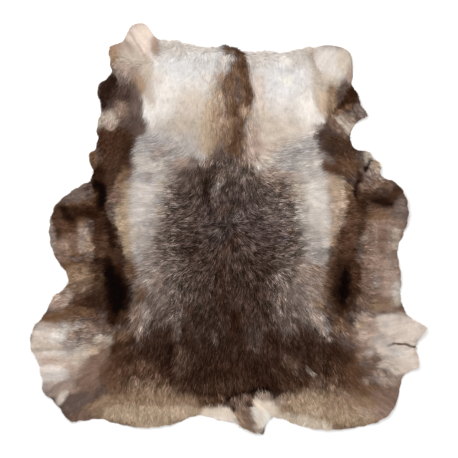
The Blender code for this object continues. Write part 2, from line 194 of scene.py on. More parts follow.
    ("mane root", "ash", ((-3, 23, 1.7), (-1, 20.6, 2.2), (1.6, 19.4, 2.4), (3.6, 19, 1.2)), 1, 1.1),
    ("parting", "soot", ((-6.7, 15.8, 1.1), (-6.8, 12.4, 1.5), (-6.8, 8.9, 1.5), (-6.2, 5.8, 1.3),
        (-4.6, 3.4, .9)), .75),
    ("ridge", "grey", ((-1.9, 16.2, 1), (-2.9, 13.6, 1.2), (-4.1, 11.2, 1)), .6),
    ("whorl line", "mouse", ((7.2, 7.5, .9), (3.7, 4.6, 1.2), (.2, .8, 1.2)), .7),
    ("whorl", "soot", (.9, -3.8, 2.3, 2.5), .75),
    ("back left spot", "slate", (-16.9, 2.6, 2.2, 3.2), .8),
    ("withers side", "dust", (-15, 17.7, 3, 1.5), .7),
    ("withers light", "dust", (-6, 19.6, 1.9, 1.3), .7),
    ("back line", "cocoa", ((-2.2, -10, 1.2), (-2.2, -16, 1.4), (-2.2, -22, 1.2)), .6, 1.3),
    ("right side low", "rose", (25.4, -16.3, 1.4, 1.2), .8),
    # painted shade in the right flank hollow, over its dark stripe
    ("right hollow", "soot", (35, -11.8, 1.1, 1.4), .9),
    ("right hollow", "walnut", (35, -7.3, 1.1, 1.4), .9),
    ("right haunch top", "rose", (35, -29.9, 1.2, 1.1), .8),
    ("right side low", "mouse", (16.3, -25.2, 1.3, 1.2), .8),
    ("right side low", "dusk", (16.3, -29.8, 1.3, 1.2), .8),
    ("left side low", "dust", (-25.2, -25.2, 1.4, 1.2), .8),
    ("right haunch low", "pale", (48.8, -39.7, 1.3, 1), .8),
    ("right stifle", "ash", (39.5, -21, 1.2, 1.1), .9),
    ("left withers", "mouse", (-15.8, 15.9, 1.3, 1.1), .8),
    ("left haunch", "mouse", (-34.7, -34.6, 1.2, 1.1), .8),
    ("right hem", "camel", (16.5, -48.6, 1.5, 1), .8),
    ("left neck middle", "pale", (-6.8, 44.7, 1.4, 1.3), .7),
    ("left side low", "mouse", (-14, -20, 1.3, 1.2), .8),
    ("rump left", "dusk", (-8.5, -28.8, 1.3, 1.2), .7),
    ("back left low", "charcoal", (-12.5, -15.5, 3.4, 3), .6, 1.3),
    ("back left foot", "charcoal", ((-21.6, -26.6, 1.5), (-22.8, -29.4, 1.5)), .7),
    ("left side lock", "dust", (-20.4, -14, 1.6, 2.4), .8),
    ("left side dip", "ash", (-23, -19.8, 1.9, 1.5), .7),
    ("right side light", "oat", ((18.7, 13, 2), (19.6, 9.2, 1.7)), .9),
    ("back right high", "mouse", (11, 7.4, 2.6, 2), .7),
    ("back right dip", "charcoal", (10.3, -2.4, 3.2, 2.1), .8),
    ("back cool", "dusk", (2.5, 3, 12, 8.5), .45),
    ("right side dip", "slate", (18.2, -4.4, 2.8, 3.3), .8),
    ("right side low", "fawn", (21.2, -12.6, 2, 3.6), .7),
    ("right side lock", "mouse", ((16.4, -14.5, 1.5), (16.7, -21, 1.6), (16.7, -27.5, 1.5)), .7),
    # painted shade in the gap between locks
    ("right side lock gap", "graphite", ((19, -26.3, 1), (19.3, -29.4, 1.2)), 1),
    ("withers left", "grey", (-14.3, 15.3, 4.1, 2.9), .7, 1.1),
    ("withers dark", "graphite", (-10, 12.7, 4.1, 4.7), .6),
    ("withers top", "mouse", (1.6, 16.9, 4.4, 2.6), .8),
    ("withers right", "fawn", (11.6, 15.6, 3.8, 2.2), .8),
    ("withers", "paleGrey", (-20.1, 17.9, 3, 2), .9),
    ("left tab", "blush", (-26, 54.3, 4.9, 6.4), 1, .7),
    ("left tab light", "cream", (-24.6, 56.6, 2.4, 3.4, 20), .5, 1.1),
    ("left tab fold", "dust", ((-34, 54, 1.2), (-31.6, 54.2, 1.5), (-29.6, 53.6, 1.2),
        (-28.6, 51.8, 1)), 1),
    ("left tab fluff", "dust", (-21.2, 53.2, 1.6, 2.8, -15), 1),
    ("left tab side", "oat", (-30, 49.7, 4.1, 4.1), 1, .9),
    ("left tab corner", "tan", (-34.1, 51, 2.3, 3.2), 1, .9),
    ("left tab low", "dust", (-29, 45.4, 4.1, 2.7, 20), 1, 1.1),
    ("left tab shadow", "mouse", (-31, 43.6, 2, 1.4, 20), .8, 1.1),
    ("left tab edge", "oat", (-24.2, 47.6, 1.9, 3.2, -10), 1, 1.1),
    ("left tab low", "tan", (-26, 42.5, 2.2, 2.6), 1, 1.1),
    # painted shade in the left cheek tab's creases
    ("left tab crease", "fawn", ((-28.9, 57.2, .4), (-26.5, 53.5, .4), (-24.2, 49.7, .4)), .6),
    ("left tab crease", "tan", ((-21.9, 55.5, .6), (-21.3, 52, .7)), .6),
    ("left side brown", "slate", ((-26.9, 37.5, 1.7), (-26.9, 33.9, 1.9), (-25.9, 30.6, 2.5),
        (-26.3, 27.8, 2.4)), 1, .9),
    ("left side edge", "ash", ((-27.9, 42.5, 1.3), (-27, 39.4, 1.9), (-26.7, 35.6, 1.7)), .9),
    ("left side", "coal", ((-34.1, 43.6, 1.4), (-35, 40.8, 3), (-36.6, 38.4, 2), (-36.9, 36.2, 1.4)),
        1, .7),
    ("left side dark", "graphite", (-30.8, 39.6, 3.2, 3.2), .9, 1.1),
    ("left side", "oat", ((-34.5, 33.2, 1.7), (-35.5, 31.2, 2.9), (-36.2, 28.6, 2.1)), 1, .9),
    ("left side, pale fold", "rose", (-31.2, 34.6, 2.2, 2.4), 1, 1.1),
    ("left side", "walnut", ((-35.3, 26.4, 4.1), (-31.2, 25.2, 4.7), (-32.4, 21.4, 4.7)), 1, .7),
    ("left side", "bark", (-34.1, 18.5, 5.2, 3.5), 1, 1.1),
    ("left side", "hazel", ((-29.6, 16.4, 1.6), (-31, 14.2, 1.8)), 1),
    ("left side low", "bark", ((-34, 15.6, 1.7), (-34.2, 13.2, 1.4)), 1, 1.1),
    ("left side rim", "umber", (-39.9, 20.6, 1.2, 2.9), 1, 1.1),
    ("left shoulder edge", "cocoa", (-29.4, 22.9, 2.3, 4.1), .8, 1.1),
    ("right tab", "bone", (29.6, 47.9, 5.5, 5.2), 1, .7),
    ("right tab edge", "linen", (33.7, 49.1, 2.3, 4.1), 1, 1.1),
    ("right tab rim", "fawn", (35.2, 45, .9, 2.6), 1, 1.1),
    ("right tab low", "linen", (28.2, 42.7, 3.5, 2.6), 1, 1.1),
    # painted shade in the right cheek tab's crease
    ("right tab crease", "oat", ((22.9, 52, .8), (23.8, 49.1, .8), (25.5, 45.6, 1), (26.1, 42.1, 1.5),
        (26.4, 38.6, 1.5)), .8),
    ("right side", "camel", ((29.6, 41, 1.5), (29.3, 37, 1.7), (29.2, 33.4, 1.5)), 1),
    ("right side", "loam", ((36, 41, 1.3), (35.8, 38.8, 1.9), (34.6, 37.2, 1.8), (32.6, 35.4, 1.3),
        (31, 34, .9)), 1, .9),
    ("right side point", "mouse", (38.4, 34, 2.3, 1.5, 25), 1, 1.1),
    ("right side brown", "graphite", ((28.6, 31, 1.2), (27.8, 29.4, 1.7), (27.2, 27.6, 2.3),
        (27.6, 25.2, 2.2), (29, 22.9, 2.2)), 1, .8),
    ("right side", "oat", ((32.6, 32, 1.3), (34.6, 31.1, 2.1), (35.6, 29.8, 1.5), (33.2, 29, 1.4)),
        1, 1),
    ("right side", "bark", ((29.4, 24.3, 3), (32.6, 24.1, 3.4), (35.6, 22.6, 1.8), (34, 21.2, 2.9)),
        1, .7),
    ("right side border", "slate", ((26.8, 30.4, 1.2), (26, 26.2, 1.5), (26.6, 22.6, 1.3)), .85),
    ("right side", "chestnut", ((28.4, 18.2, 2.6), (34, 18.2, 3.2)), 1, .9),
    ("right side", "umber", (35.6, 18.6, 2.8, 1.8), 1, 1.1),
    ("elbow", "linen", (41, 21, 1.6, 2.4, -15), 1, 1.1),
    ("elbow tab", "straw", (42.9, 18.7, 1.4, 2), 1, 1),
    ("elbow low", "dust", (41.2, 16.2, 2.2, 2.2), 1, 1.1),
    # The left flank hollow: the coat's own dark stripe, deepened with painted shade of the fold between
    # flank and foreleg; its black row is painted shadow.
    ("left hollow", "loam", ((-38.2, 16.5, 2), (-37.8, 12.4, 2.6), (-37.6, 7.2, 2.9), (-36.9, 1.9, 3.3),
        (-35.5, -3.9, 4.4), (-34.4, -9.7, 4.9), (-32.8, -16.4, 4.8), (-32.8, -21.9, 3.6),
        (-33.5, -25.6, 2.2)), 1, .9),
    ("left hollow deep", "black", ((-38.4, -9.5, 1.2), (-36.2, -9.9, 2.2), (-34.6, -13.2, 2.2),
        (-33, -16.3, 2.9), (-32.2, -19.4, 4.3), (-32, -22.3, 2.6)), 1, 1.3),
    ("left hollow brown", "bark", (-33.3, -6, 2.2, 3.6), .9),
    ("left hollow side", "umber", (-27.8, -11.4, 1.5, 3), 1, 1.1),
    ("left hollow edge", "umber", (-25.4, -18.8, 1.6, 2.8), .9),
    # The right flank hollow: the coat's own dark stripe, deepened with painted shade of the fold between
    # flank and foreleg; its black row is painted shadow.
    ("right hollow", "cocoa", ((37.4, 12, 1.2), (37.6, 8.4, 1.7), (37.1, 4, 2.6), (35.8, -.5, 3.3),
        (35.2, -4.7, 3.6), (33.9, -10.6, 4.4), (33, -16.4, 4.7), (33, -22.2, 3.9), (32.6, -26, 2)),
        1, 1),
    ("right flank edge, outer", "umber", ((35, 13, 1.1), (35.3, 9, 1.3), (35, 5, 1.3)), 1),
    ("right hollow brown", "chestnut", ((36.4, 6, 1.8), (35.6, 0, 3), (34.6, -5, 3)), .9),
    ("right hollow deep", "black", ((34, -12.4, 1.3), (33.6, -15.2, 2.4), (33.4, -18, 2.8),
        (33.2, -20.6, 1.6)), 1, 1.6),
    # painted shadow in the elbow's crease
    ("elbow crease", "soot", ((41.4, 20.3, .3), (39.9, 17.8, .5), (38.4, 15.2, .8), (37.6, 12.6, 1.1),
        (37.2, 9.5, 1.1)), 1, 1.3),
    ("left foreleg", "umber", (-44, -3.3, 7.9, 15.1), 1, .5),
    ("left foreleg top", "ash", ((-48.1, 9.2, 1.4), (-44.2, 9.7, 2.2), (-41.4, 11.2, 1.6)), 1, .9),
    ("left foreleg top rim", "graphite", (-41, 12.1, 1.2, 1, -20), 1, 1.1),
    # painted shadow at the top of the left flank hollow
    ("left hollow", "black", ((-38.5, 13.4, 1.2), (-36.9, 11.5, 1.5), (-37, 8.4, 1.2), (-37.4, 6, 1)),
        1, 1.3),
    ("left foreleg dark", "loam", ((-44, 5.2, 2), (-39.9, 5.2, 2.5), (-38.2, 1.9, 2.6),
        (-38.8, -3.3, 1.7)), 1, 1.1),
    ("left foreleg", "soot", ((-48.6, 6.4, 1.4), (-47.3, 5, 2.2), (-46.3, 3, 2.1), (-46, 1.2, 1.3)),
        1, 1.8),
    ("left foreleg rim", "bark", ((-50.4, 4.9, 1.5), (-50.7, .8, 1.7), (-49.2, -2.7, 1.2)), 1, 1.1),
    ("left foreleg brown", "chestnut", ((-49, 1.6, 1.3), (-46.3, -.4, 2)), 1),
    ("left foreleg olive", "dust", ((-42.6, -.2, 1.4), (-42.1, -2.4, 2), (-41.7, -5.6, 2.2),
        (-40.5, -8.3, 1.3)), 1, 1.1),
    ("left foreleg dip", "umber", (-42.5, -8.8, 2.3, 2.2), .9),
    ("left foreleg", "rose", (-48.2, -6.4, 2, 3.6), 1, 1.1),
    ("left foreleg edge", "grey", ((-52.4, 2.4, 1), (-52, -1.5, 1.3), (-51.3, -6, 1.2)), .8),
    ("left foreleg brown", "walnut", ((-38.6, -2.1, 1.4), (-37.7, -5.2, 1.5)), .9),
    # painted shadow along the left flank hollow
    ("left hollow line", "soot", ((-35.5, 3.8, .9), (-34.8, -.5, 1), (-33.4, -5, 1)), .8, 1.3),
    ("left foreleg low", "camel", (-43, -14.3, 5, 3.2), 1, 1.1),
    ("left hollow left", "walnut", ((-39.8, -6, 1.1), (-39, -9.8, 1.8), (-38.6, -15.2, 1.4),
        (-38.2, -19, 1.2), (-38.6, -23, 1.2)), .85, 1.3),
    # painted shadow under the lobe in the left flank hollow
    ("left hollow lobe", "soot", ((-38.5, -9.3, 1.2), (-36.2, -10, 2.1)), .85, 1.7),
    ("left hollow foot", "walnut", (-30.4, -25.4, 1.8, 1.8), .9),
    ("left stifle top", "fawn", (-49.2, -20.5, 3.8, 2.3, -30), 1, .9),
    ("left stifle brown", "chestnut", (-42.4, -21.3, 2.6, 2.3), 1, 1.1),
    ("left stifle dark", "cocoa", (-39.9, -21.3, 3.8, 2.9), 1, 1.1),
    ("left stifle stripe", "umber", ((-54.6, -26.8, 1.4), (-52.5, -26.5, 1.9), (-50.2, -25.9, 1.9),
        (-47.8, -24.6, 1.6), (-45.5, -23.9, 1.5), (-42, -23.9, 1.5), (-40, -24.2, 1.2)), 1, .8),
    ("left stifle stripe", "rose", (-39.8, -28.6, 3, 1.8), 1, 1.1),
    ("left haunch", "pale", ((-53, -31.2, 4.1), (-52.7, -35.3, 5.8), (-51.6, -40.5, 5.5),
        (-52.1, -44.6, 3.8)), 1, .6),
    ("left haunch inner", "paleGrey", (-46.3, -32.4, 4.9, 5.2), 1, 1.1),
    ("left haunch top", "dust", (-52, -28, 2.8, 1.4), .7),
    ("left haunch tufts", "clay", ((-45.8, -31.2, 1.5), (-43.2, -31.8, 2.4), (-41.2, -33, 1.8)), 1),
    ("left haunch", "oat", ((-39.8, -34.5, 2.5), (-37, -32.8, 2.2), (-34.7, -32.4, 1.5)), 1, 1.1),
    ("left haunch low", "fawn", (-44.6, -40.5, 3, 3.2, 30), .9),
    ("left haunch step", "oat", ((-43.6, -38, 2), (-41.3, -37.2, 1.8), (-38, -36.4, 1.7),
        (-35.8, -35, 1.2)), .9),
    # painted shade in the left haunch's creases
    ("left haunch crease", "grey", ((-41.5, -31.6, 1.4), (-44, -33.2, 1.7), (-46.6, -34.2, 1.9),
        (-49, -34.3, 1.3)), 1, 1.1),
    ("left haunch crease", "oat", ((-49, -34.5, .9), (-52, -34.3, 1.1), (-55.5, -34, 1.2)), .9),
    ("left haunch crease", "fawn", ((-47.8, -38.9, 1.4), (-50.5, -38.9, 1.5), (-53.5, -38.6, 1.2)), .9),
    ("left haunch bright", "bone", (-51, -42.5, 4, 2.4), 1, 1.1),
    ("left hind", "clay", ((-36.4, -35.9, 2.3), (-39.3, -40.5, 3.2), (-41.1, -45.2, 2.9)), 1, 1.1),
    ("left hind brown", "chestnut", (-32.9, -42.3, 4.1, 4.7), 1, 1.1),
    ("left hind", "camel", (-27.4, -45.5, 4.1, 2.9), .35, 1.1),
    ("left hind dark", "walnut", (-30.6, -34.7, 3.5, 3.5), 1, 1.1),
    ("left hind red", "umber", (-30.6, -30.6, 2.3, 1.7), 1, 1.1),
    ("left foot", "dust", ((-52.7, -46.9, 1.7), (-49.2, -46.4, 2.3), (-46.3, -45.8, 1.7)), 1, 1.1),
    ("left foot", "grey", (-53, -46.6, 1.7, 1.5), 1, 1.1),
    # painted highlight on the crest of a fold
    ("left foot", "pale", (-48.6, -49, 1.2, 2.4, 35), 1, 1),
    ("left heel", "ash", ((-46.6, -51.2, 1.8), (-44.2, -50.4, 2), (-41.7, -48.6, 1.6)), .9, 1.1),
    ("left heel", "clay", ((-45.5, -55, 1.3), (-42, -54.5, 1.9), (-38.5, -53.6, 1.9)), 1, 1.1),
    ("right foreleg", "rose", (44.8, -4.7, 7, 16.3), 1, .5),
    ("right foreleg top", "clay", ((38.6, 11.8, 1.7), (41.6, 12.7, 2.3), (45.3, 13, 1.7)), 1, .9),
    ("right foreleg top dark", "bark", (49.6, 10.8, 2, 2, 30), 1, .9),
    ("right foreleg shade", "walnut", ((38.2, 9.6, 1.5), (41.5, 9.8, 1.7), (45, 9.6, 1.8),
        (48.4, 9.9, 1.6)), .95),
    # painted shadow on the side of the right foreleg's fold away from the light
    ("right foreleg", "soot", ((42, 8.2, 1.5), (44.8, 7.8, 2.4), (47, 7.4, 1.8)), 1, 1.9),
    ("right foreleg brown", "bark", ((38.8, 6.4, 1.6), (43, 6.2, 1.2)), .8),
    ("right foreleg rim", "mouse", (50.3, 6, 2, 3.5), 1, 1.1),
    ("right foreleg brown", "hazel", (42.7, 3.7, 4.7, 2), 1, 1.1),
    ("right foreleg inner", "clay", ((40.4, 1.2, 1.2), (39.7, -4.7, 1.6), (39.6, -11.4, 1.6),
        (40.4, -17.8, 1.8)), 1, 1.1),
    ("right foreleg", "grey", ((47.4, -1, 2), (47.1, -6.8, 2), (47.1, -12.6, 2)), .3),
    ("right foreleg stripe", "clay", ((44.5, 1, 1.3), (44.5, -6, 1.3)), .9),
    ("right foreleg", "fawn", (47, -16.2, 2.4, 3.5), .8),
    ("right foreleg rim", "paleGrey", (49.1, -18.4, 1.6, 3.4), 1, 1.1),
    ("right foreleg seam", "walnut", ((36.9, -6.2, .9), (37.2, -12, 1.2), (36.9, -17.8, 1.2)), 1),
    ("elbow shadow", "soot", ((38.5, 14.4, .9), (37.2, 12.6, 1.2), (36.9, 10.4, 1)), .9, 1.5),
    ("right foreleg inside", "walnut", ((39, 7.2, 1.1), (38.8, 3.2, 1.2), (38, -3, .9),
        (37.9, -9.3, .9)), .9),
    ("right stifle band", "clay", ((38.6, -20.8, 1.8), (43, -21, 1.8), (46.2, -21.8, 1.5),
        (49.6, -24, 1.2), (52.4, -26, .9)), 1, .9),
    ("right stifle inner", "umber", (32.8, -27.2, 2.6, 2.6), 1, 1.1),
    ("right haunch", "pale", ((43.8, -27.4, 2.4), (49.7, -28.6, 3.8), (54.9, -29.5, 3.5),
        (52, -34.7, 4.7), (52, -38.8, 4.1)), 1, .6),
    ("right haunch top", "fawn", (39.2, -26.6, 3.2, 2.3), 1, 1.1),
    ("right haunch inner", "fawn", (39.2, -31.2, 3.8, 2.3, 10), 1, 1.1),
    ("right haunch mid", "blush", (45, -33.8, 3.8, 3.5), 1, 1.1),
    ("right haunch", "rose", (39.8, -36.5, 2.9, 2.3, 20), 1, 1.1),
    ("right haunch notch", "clay", (38.6, -36.6, 1.6, 1.7), .9),
    ("right haunch red", "clay", (35.8, -30.4, 1.8, 2), 1, 1.1),
    # painted shade in the right haunch's pleat
    ("right haunch crease", "bark", ((46, -34.2, .22), (48.3, -33.4, .34), (51.3, -33.5, .34),
        (54, -34.7, .3)), .9),
    ("right hind", "chestnut", (35.6, -43.4, 4.2, 3.2), 1, 1.1),
    ("right hind", "clay", (42, -40.3, 2.8, 2.3, 20), 1, 1.1),
    ("right hind", "dust", ((43.3, -43, 1.6), (47.4, -44, 1.8), (50.9, -43.8, 1.5)), 1, 1.1),
    ("right haunch low", "blush", ((45.8, -38.8, 1.5), (48.6, -40, 1.8), (51.4, -40.4, 1.6)), .9, 1.1),
    ("right hind brown", "umber", (39.8, -46.6, 4.1, 2.2), 1, 1.1),
    ("right hind rim", "rose", ((50.3, -45.2, 1.7), (49.1, -48.7, 1.7)), 1, 1.1),
    ("right hind dark", "clay", ((42.7, -48.1, 1.7), (46.8, -49.8, 1.7)), 1, 1.1),
    # painted shadow: the black band where the rump's long hair overhangs the tail
    ("tail root", "black", ((-1.6, -50.2, .45), (1.2, -48.4, .6), (4.6, -47.6, .6), (6.6, -46.8, .65),
        (8.8, -46, .6), (10.8, -46, .6), (12.6, -47, .4)), 1, 1.1),
    ("tail tuft", "cream", (10.6, -52.8, 3.7, 3.2), 1, .9),
    ("tail tuft rim", "snow", (10.3, -55.6, 2.1, 3, -20), 1, .9),
    ("tail tuft top", "fawn", ((8.9, -48, 1), (11.2, -48.2, 1.2)), .9),
    ("tail", "rose", ((3.2, -51.6, 1.5), (4, -53.6, 1.9), (5, -56, 1.8), (6.3, -58, 1.3),
        (7.6, -59.6, .8)), 1, .8),
    ("tail middle", "clay", ((4.2, -52.4, 1), (5.4, -55.4, 1.1)), 1, 1.1),
    ("tail rim", "tan", ((2.3, -54.3, .6), (3.6, -57, .8), (6, -59.4, .7)), 1, 1.1),
    ("tail tip", "oat", ((7.2, -57.2, .9), (8.4, -58.6, .9)), 1, 1.1),
    ("tail top", "clay", ((1.2, -49.4, .7), (4, -48.9, .9), (6, -49, .7)), .9),
    # painted shade in the gap beside the tail
    ("tail gap", "walnut", (1.2, -51.6, .8, 1), .9),
    ("tail notch", "bark", ((5.4, -50, .6), (6.6, -51, .6)), .8, 1.1),
    ("lock right", "dust", ((25, -26, 1.7), (27.8, -29, 1.2), (28.8, -31.3, .6)), .9, 1.1),
    ("lock right", "clay", ((17.4, -38, 1.5), (18.6, -39.6, 1.8), (19.8, -42, 1.2)), .5, 1.8),
    ("lock right tip", "oat", ((22.2, -40.2, .4), (23.8, -41.8, .4)), .7),
    ("lock left", "dust", ((-26.9, -25.4, 1.8), (-26.3, -28.4, 1.4), (-26.5, -31.4, .5)), .9, 1.1),
    ("lock left", "ash", ((-14.9, -26.6, 1.4), (-14.9, -30.4, 1.2)), .8),
    ("lock left", "clay", ((-13.6, -35.4, 1.5), (-13.4, -38.2, 2), (-14.3, -41, 1.4)), .5, 1.8),
    # painted shade in the gap between the left locks
    ("lock left gap", "soot", ((-17, -32.6, .8), (-17.4, -36, 1), (-17, -39, .8)), .8),
    ("lock middle", "mouse", ((-4.4, -29.5, .6), (-3.8, -33, .6)), .6),
    ("rump patch right", "ash", ((14.2, -26.6, 2.2), (16.7, -28.6, 2.4), (16.5, -31.5, 1.6)), .5, 1.1),
    ("rump patch middle", "slate", (7.5, -31.8, 1.7, 3.8), .9, 1.1),
    ("left shoulder top", "grey", (-19.3, 23.6, 3.2, 2), .7),
    ("withers left light", "fawn", (-13, 20.1, 1.7, 1.3), .9),
    ("withers tuft", "rose", (4.5, 20.2, 1.5, 1.3), .8),
    ("right neck hollow", "fawn", ((7.4, 27.4, 1.5), (8.6, 24.8, 1.4), (11.2, 23.6, 2)), .7),
    ("right withers shade", "fawn", (18, 16.2, 1.8, 1.3), .8),
    ("right flank shade", "silver", (24.5, 16.2, 2, 1.6), .9),
    ("right side", "rose", (32.2, 33.8, 1.3, 1.2), .9),
    ("right side", "mouse", (28.8, 20, 1.5, 1.2), .8),
    ("right side", "charcoal", (28.8, 23.2, 1.7, 1.3), .8),
    ("elbow low shade", "slate", (38.9, 16.2, 1.1, 1.4), .8),
    ("left flank notch", "oat", (-19.4, 12.6, 1.4, 1.6), .7),
    ("left flank dull", "silver", (-22.9, 5.4, 1.3, 2), .7),
    ("left back light", "oat", (-19.2, 5.3, 1.2, 1.8), .8),
    ("left flank light", "linen", (-26.2, -1.5, 1.4, 2), .8),
    ("left back shade", "mouse", (-15.9, 9, 1.6, 1.6), .7),
    ("left back dark", "ash", ((-15.9, -5, 1.6), (-16.3, -8.4, 1.3)), .8),
    ("back high", "charcoal", (-6, 12.8, 1.6, 1.6), .7),
    ("back left", "graphite", ((-9.3, 5.6, 1.4), (-9.4, 1.6, 1.4)), .7),
    ("back middle", "charcoal", ((-2.6, 5.2, 1.5), (3.6, 8.6, 1.4)), .6),
    ("whorl, upper left", "mouse", (-2.6, -1.2, 1.6, 1.4), .8),
    ("whorl, upper right", "charcoal", (4.1, -1.2, 1.5, 1.5), .7),
    ("back right patch", "slate", (14.2, -1.5, 1.8, 1.5), .7),
    ("back right tuft", "rose", (17.6, -1.3, 1.3, 1.8), .8),
    ("back right light", "mouse", (10.8, 5.3, 1.5, 1.5), .8),
    ("back right light high", "rose", ((14.2, 12.2, 1.5), (17.4, 9, 1.1)), .8),
    ("right flank", "oat", (28, -1.5, 1.3, 1.8), .8),
    ("right flank edge, foot", "rose", ((32, 5.4, 1), (32, 1.8, 1.3)), .7),
    ("right hollow", "chestnut", (28.6, -12, 1.2, 2), .8),
    ("right hollow foot", "graphite", (28.7, -21.9, 1.4, 1.6), .9),
    ("right hollow edge", "cocoa", (30.3, -12, 1.4, 1.5), .7),
    ("right withers", "silver", (20.6, 20.9, 2.1, 1.7), 1),
    ("back low right", "rose", (16.1, -20.5, 1.5, 1.4), .8),
    ("back left", "ash", (-10.9, 11, 1.4, 1.2), .8),
    ("back top", "bark", (-1.9, 6.1, 1.4, 1.3), .7),
    ("back top", "dusk", (2.4, 10.6, 1.3, 1.2), .8),
    ("left side low", "clay", (-24.7, -16.4, 1.3, 1.2), .7),
    # painted shadow deep in the left flank hollow
    ("left hollow low", "black", (-34.6, -12, 1.5, 1.6), 1),
    ("right side low", "rose", (25, -12, 1.4, 1.3), .7),
    ("rump", "loam", ((2.6, -25.2, 1.3), (2.6, -29.9, 1.4)), 1),
    ("mane hook", "dust", (1.1, 51.4, .9, .8), .9),
    ("mane foot right", "dust", (7.1, 26.1, 1.3, 1.4), .7),
    ("left neck low", "pale", (-11.4, 35.3, 1.7, 1.7), .8),
    ("left neck", "pale", (-20.7, 44.7, 1.5, 1.4), .7),
    ("neck top", "frost", (-16.1, 49.4, 1.6, 1.4), .8),
    ("left withers", "silver", (-20.3, 16.2, 1.6, 1.2), .9),
    ("left side", "cocoa", (-37, 22.9, 1.4, 1.3), .8),
    ("right hem", "mouse", (39.3, -39.5, 1.4, 1.1), .9),
    ("right hem low", "clay", (35, -48.7, 1.4, 1.1), .7),
    ("left hem", "camel", (-38.6, -53.2, 1.5, 1.1), .9),
    ("left haunch edge", "silver", (-54.2, -29.3, 1.1, 1.1), .6),
    ("tail tuft low", "cream", (8.3, -56.9, .9, .9), 1, 1),
    ("mane middle", "slate", ((2.2, 44.6, .9), (2.7, 39.6, 1), (2.8, 37.9, .8)), .9),
    ("mane left", "beige", (-4.7, 41.8, 1.1, 1.6), .8),
    ("mane left", "clay", (0, 39.4, .9, 1.6), .8),
    ("mane low", "rose", (-2, 33.6, 1.1, 1.6), .8),
    ("mane low", "sand", (-4.3, 30, 1.2, 2), .7),
    ("mane low", "clay", (-1.4, 28.9, 1.1, 1.8), .9),
    ("mane low", "ash", (-2.1, 25.4, 1.2, 1.2), .7),
    ("mane foot", "camel", (4.6, 25.6, .9, 1.6), .8),
    ("mane right", "linen", (8.4, 33, 1.4, 1.8), .7),
    ("mane hook", "clay", (-.5, 52.3, .9, .6), .8),
    ("neck top", "snow", (16.5, 49.4, 1.6, 1.4), .8),
    ("rump left", "graphite", (-26, -33, 1.6, 1.2), .9),
    ("rump left", "walnut", (-31.6, -38.9, 1.6, 1.2), .9),
    ("hem middle", "umber", (-2.1, -48.7, 1, .8), .7),
    ("right haunch", "oat", (44, -39.6, 1.3, 1), .8),
    ("right flank edge, top", "camel", (35, 12, 1.2, 1.5), .9),
    ("right side", "linen", (20.8, 11.3, 1.5, 1.2), .7),
    # painted shade in the left flank hollow, over its dark stripe
    ("left hollow", "soot", (-29.6, -20.6, 1.2, 1.4), .7),
    ("left foreleg light top", "dust", (-42, .6, 1.2, 1), .8),
    ("left foreleg light side", "tan", ((-40.6, -2.8, .7), (-40.2, -5.4, 1)), .8),
    ("left foreleg", "ash", (-40.2, -7.8, 1, 1), .8),
    ("left foreleg middle", "clay", ((-45.6, -1.8, .9), (-45.5, -5, 1)), .9),
    ("left foreleg", "slate", ((-45.2, -8.6, .8), (-42.9, -8.7, 1)), .9),
    ("left stifle top", "clay", (-42.6, -16.1, 2.2, 1.2), .9),
    ("left foreleg inner", "hazel", (-39.7, -13.4, 1, 1.1), .8),
    ("left stifle", "chestnut", (-43.1, -20.6, 1.2, 1.1), .9),
    ("left stifle low", "chestnut", (-44.3, -24, 1.3, 1), 1),
    ("left foreleg rim dark", "bark", (-49.6, 1.2, 1, 1.3), .9),
    ("left foreleg", "loam", (-45.4, 2, 1, 1.1), 1),
    ("left foreleg top", "slate", (-40.8, 9.8, 1.2, 1), .9),
    ("left stifle inner", "chestnut", (-38.5, -25.7, 1.3, 1), .8),
    ("left haunch", "clay", (-35.1, -29, 1.4, 1.2), .9),
    ("left haunch top", "fawn", (-45.3, -27.5, 1.2, .8), .8),
    ("left haunch inner", "fawn", (-40.2, -35.1, 1.3, 1.1), .8),
    ("left haunch inner", "rose", (-35.9, -33.5, 1.3, 1.1), .8),
    ("left haunch low", "oat", (-48.9, -39.5, 1.3, 1), .8),
    ("right side top", "oat", (30.4, 42.7, 1.4, 1.2), .9),
    ("right side top", "ash", (32.7, 40.3, 1.1, 1), .8),
    ("right side", "peat", (36.8, 37.9, 1.2, 1.1), .8),
    ("right side low", "umber", (34.5, 35.6, 1.2, 1), .9),
    ("right side low", "hazel", (32.1, 34.4, 1.2, 1), .9),
    ("right side", "clay", ((29.2, 32.6, 1), (30.9, 29.8, 1.1), (33.3, 28.1, 1)), .9),
    ("right side rim", "rose", (35.5, 32, 1.2, 1), .9),
    ("right side", "graphite", ((26.9, 29.2, 1), (25.9, 26.6, 1)), .9),
    ("right side low", "charcoal", (27.8, 23.4, 1.2, 1.1), .8),
    # painted shade in the gap at the elbow
    ("elbow gap", "cocoa", (38, 16, 1.1, 1.1), .9),
    ("elbow", "graphite", (35.6, 14, 1.1, 1.1), .9),
    ("elbow", "ash", (40.8, 14.5, 1, 1), .8),
    ("elbow", "dust", (43.7, 15.2, 1.2, 1), .9),
    ("right foreleg", "umber", (46, 13, 1.1, 1), .8),
    ("right foreleg rim", "ash", (47.8, 4.2, 1.3, 1.1), .9),
    ("right foreleg inner", "ash", ((38, -4.4, .9), (37.9, -8.2, 1)), .8),
    ("right foreleg", "clay", (44.9, -4.5, 1.2, 1.4), .8),
    ("right stifle low", "rose", (43, -23.8, 1.2, 1), .9),
    ("right haunch", "sand", (37.9, -27.6, 1.3, 1.1), .8),
    ("right haunch", "paleGrey", (44.9, -28.4, 1.3, 1), .8),
    ("right haunch inner", "rose", (38, -33.4, 1.2, 1), .8),
    ("right haunch", "oat", (41.3, -33.5, 1.1, 1), .7),
    ("left shoulder", "fog", ((-24.4, 26.2, 1.5), (-20.1, 26.2, 1.8)), .9),
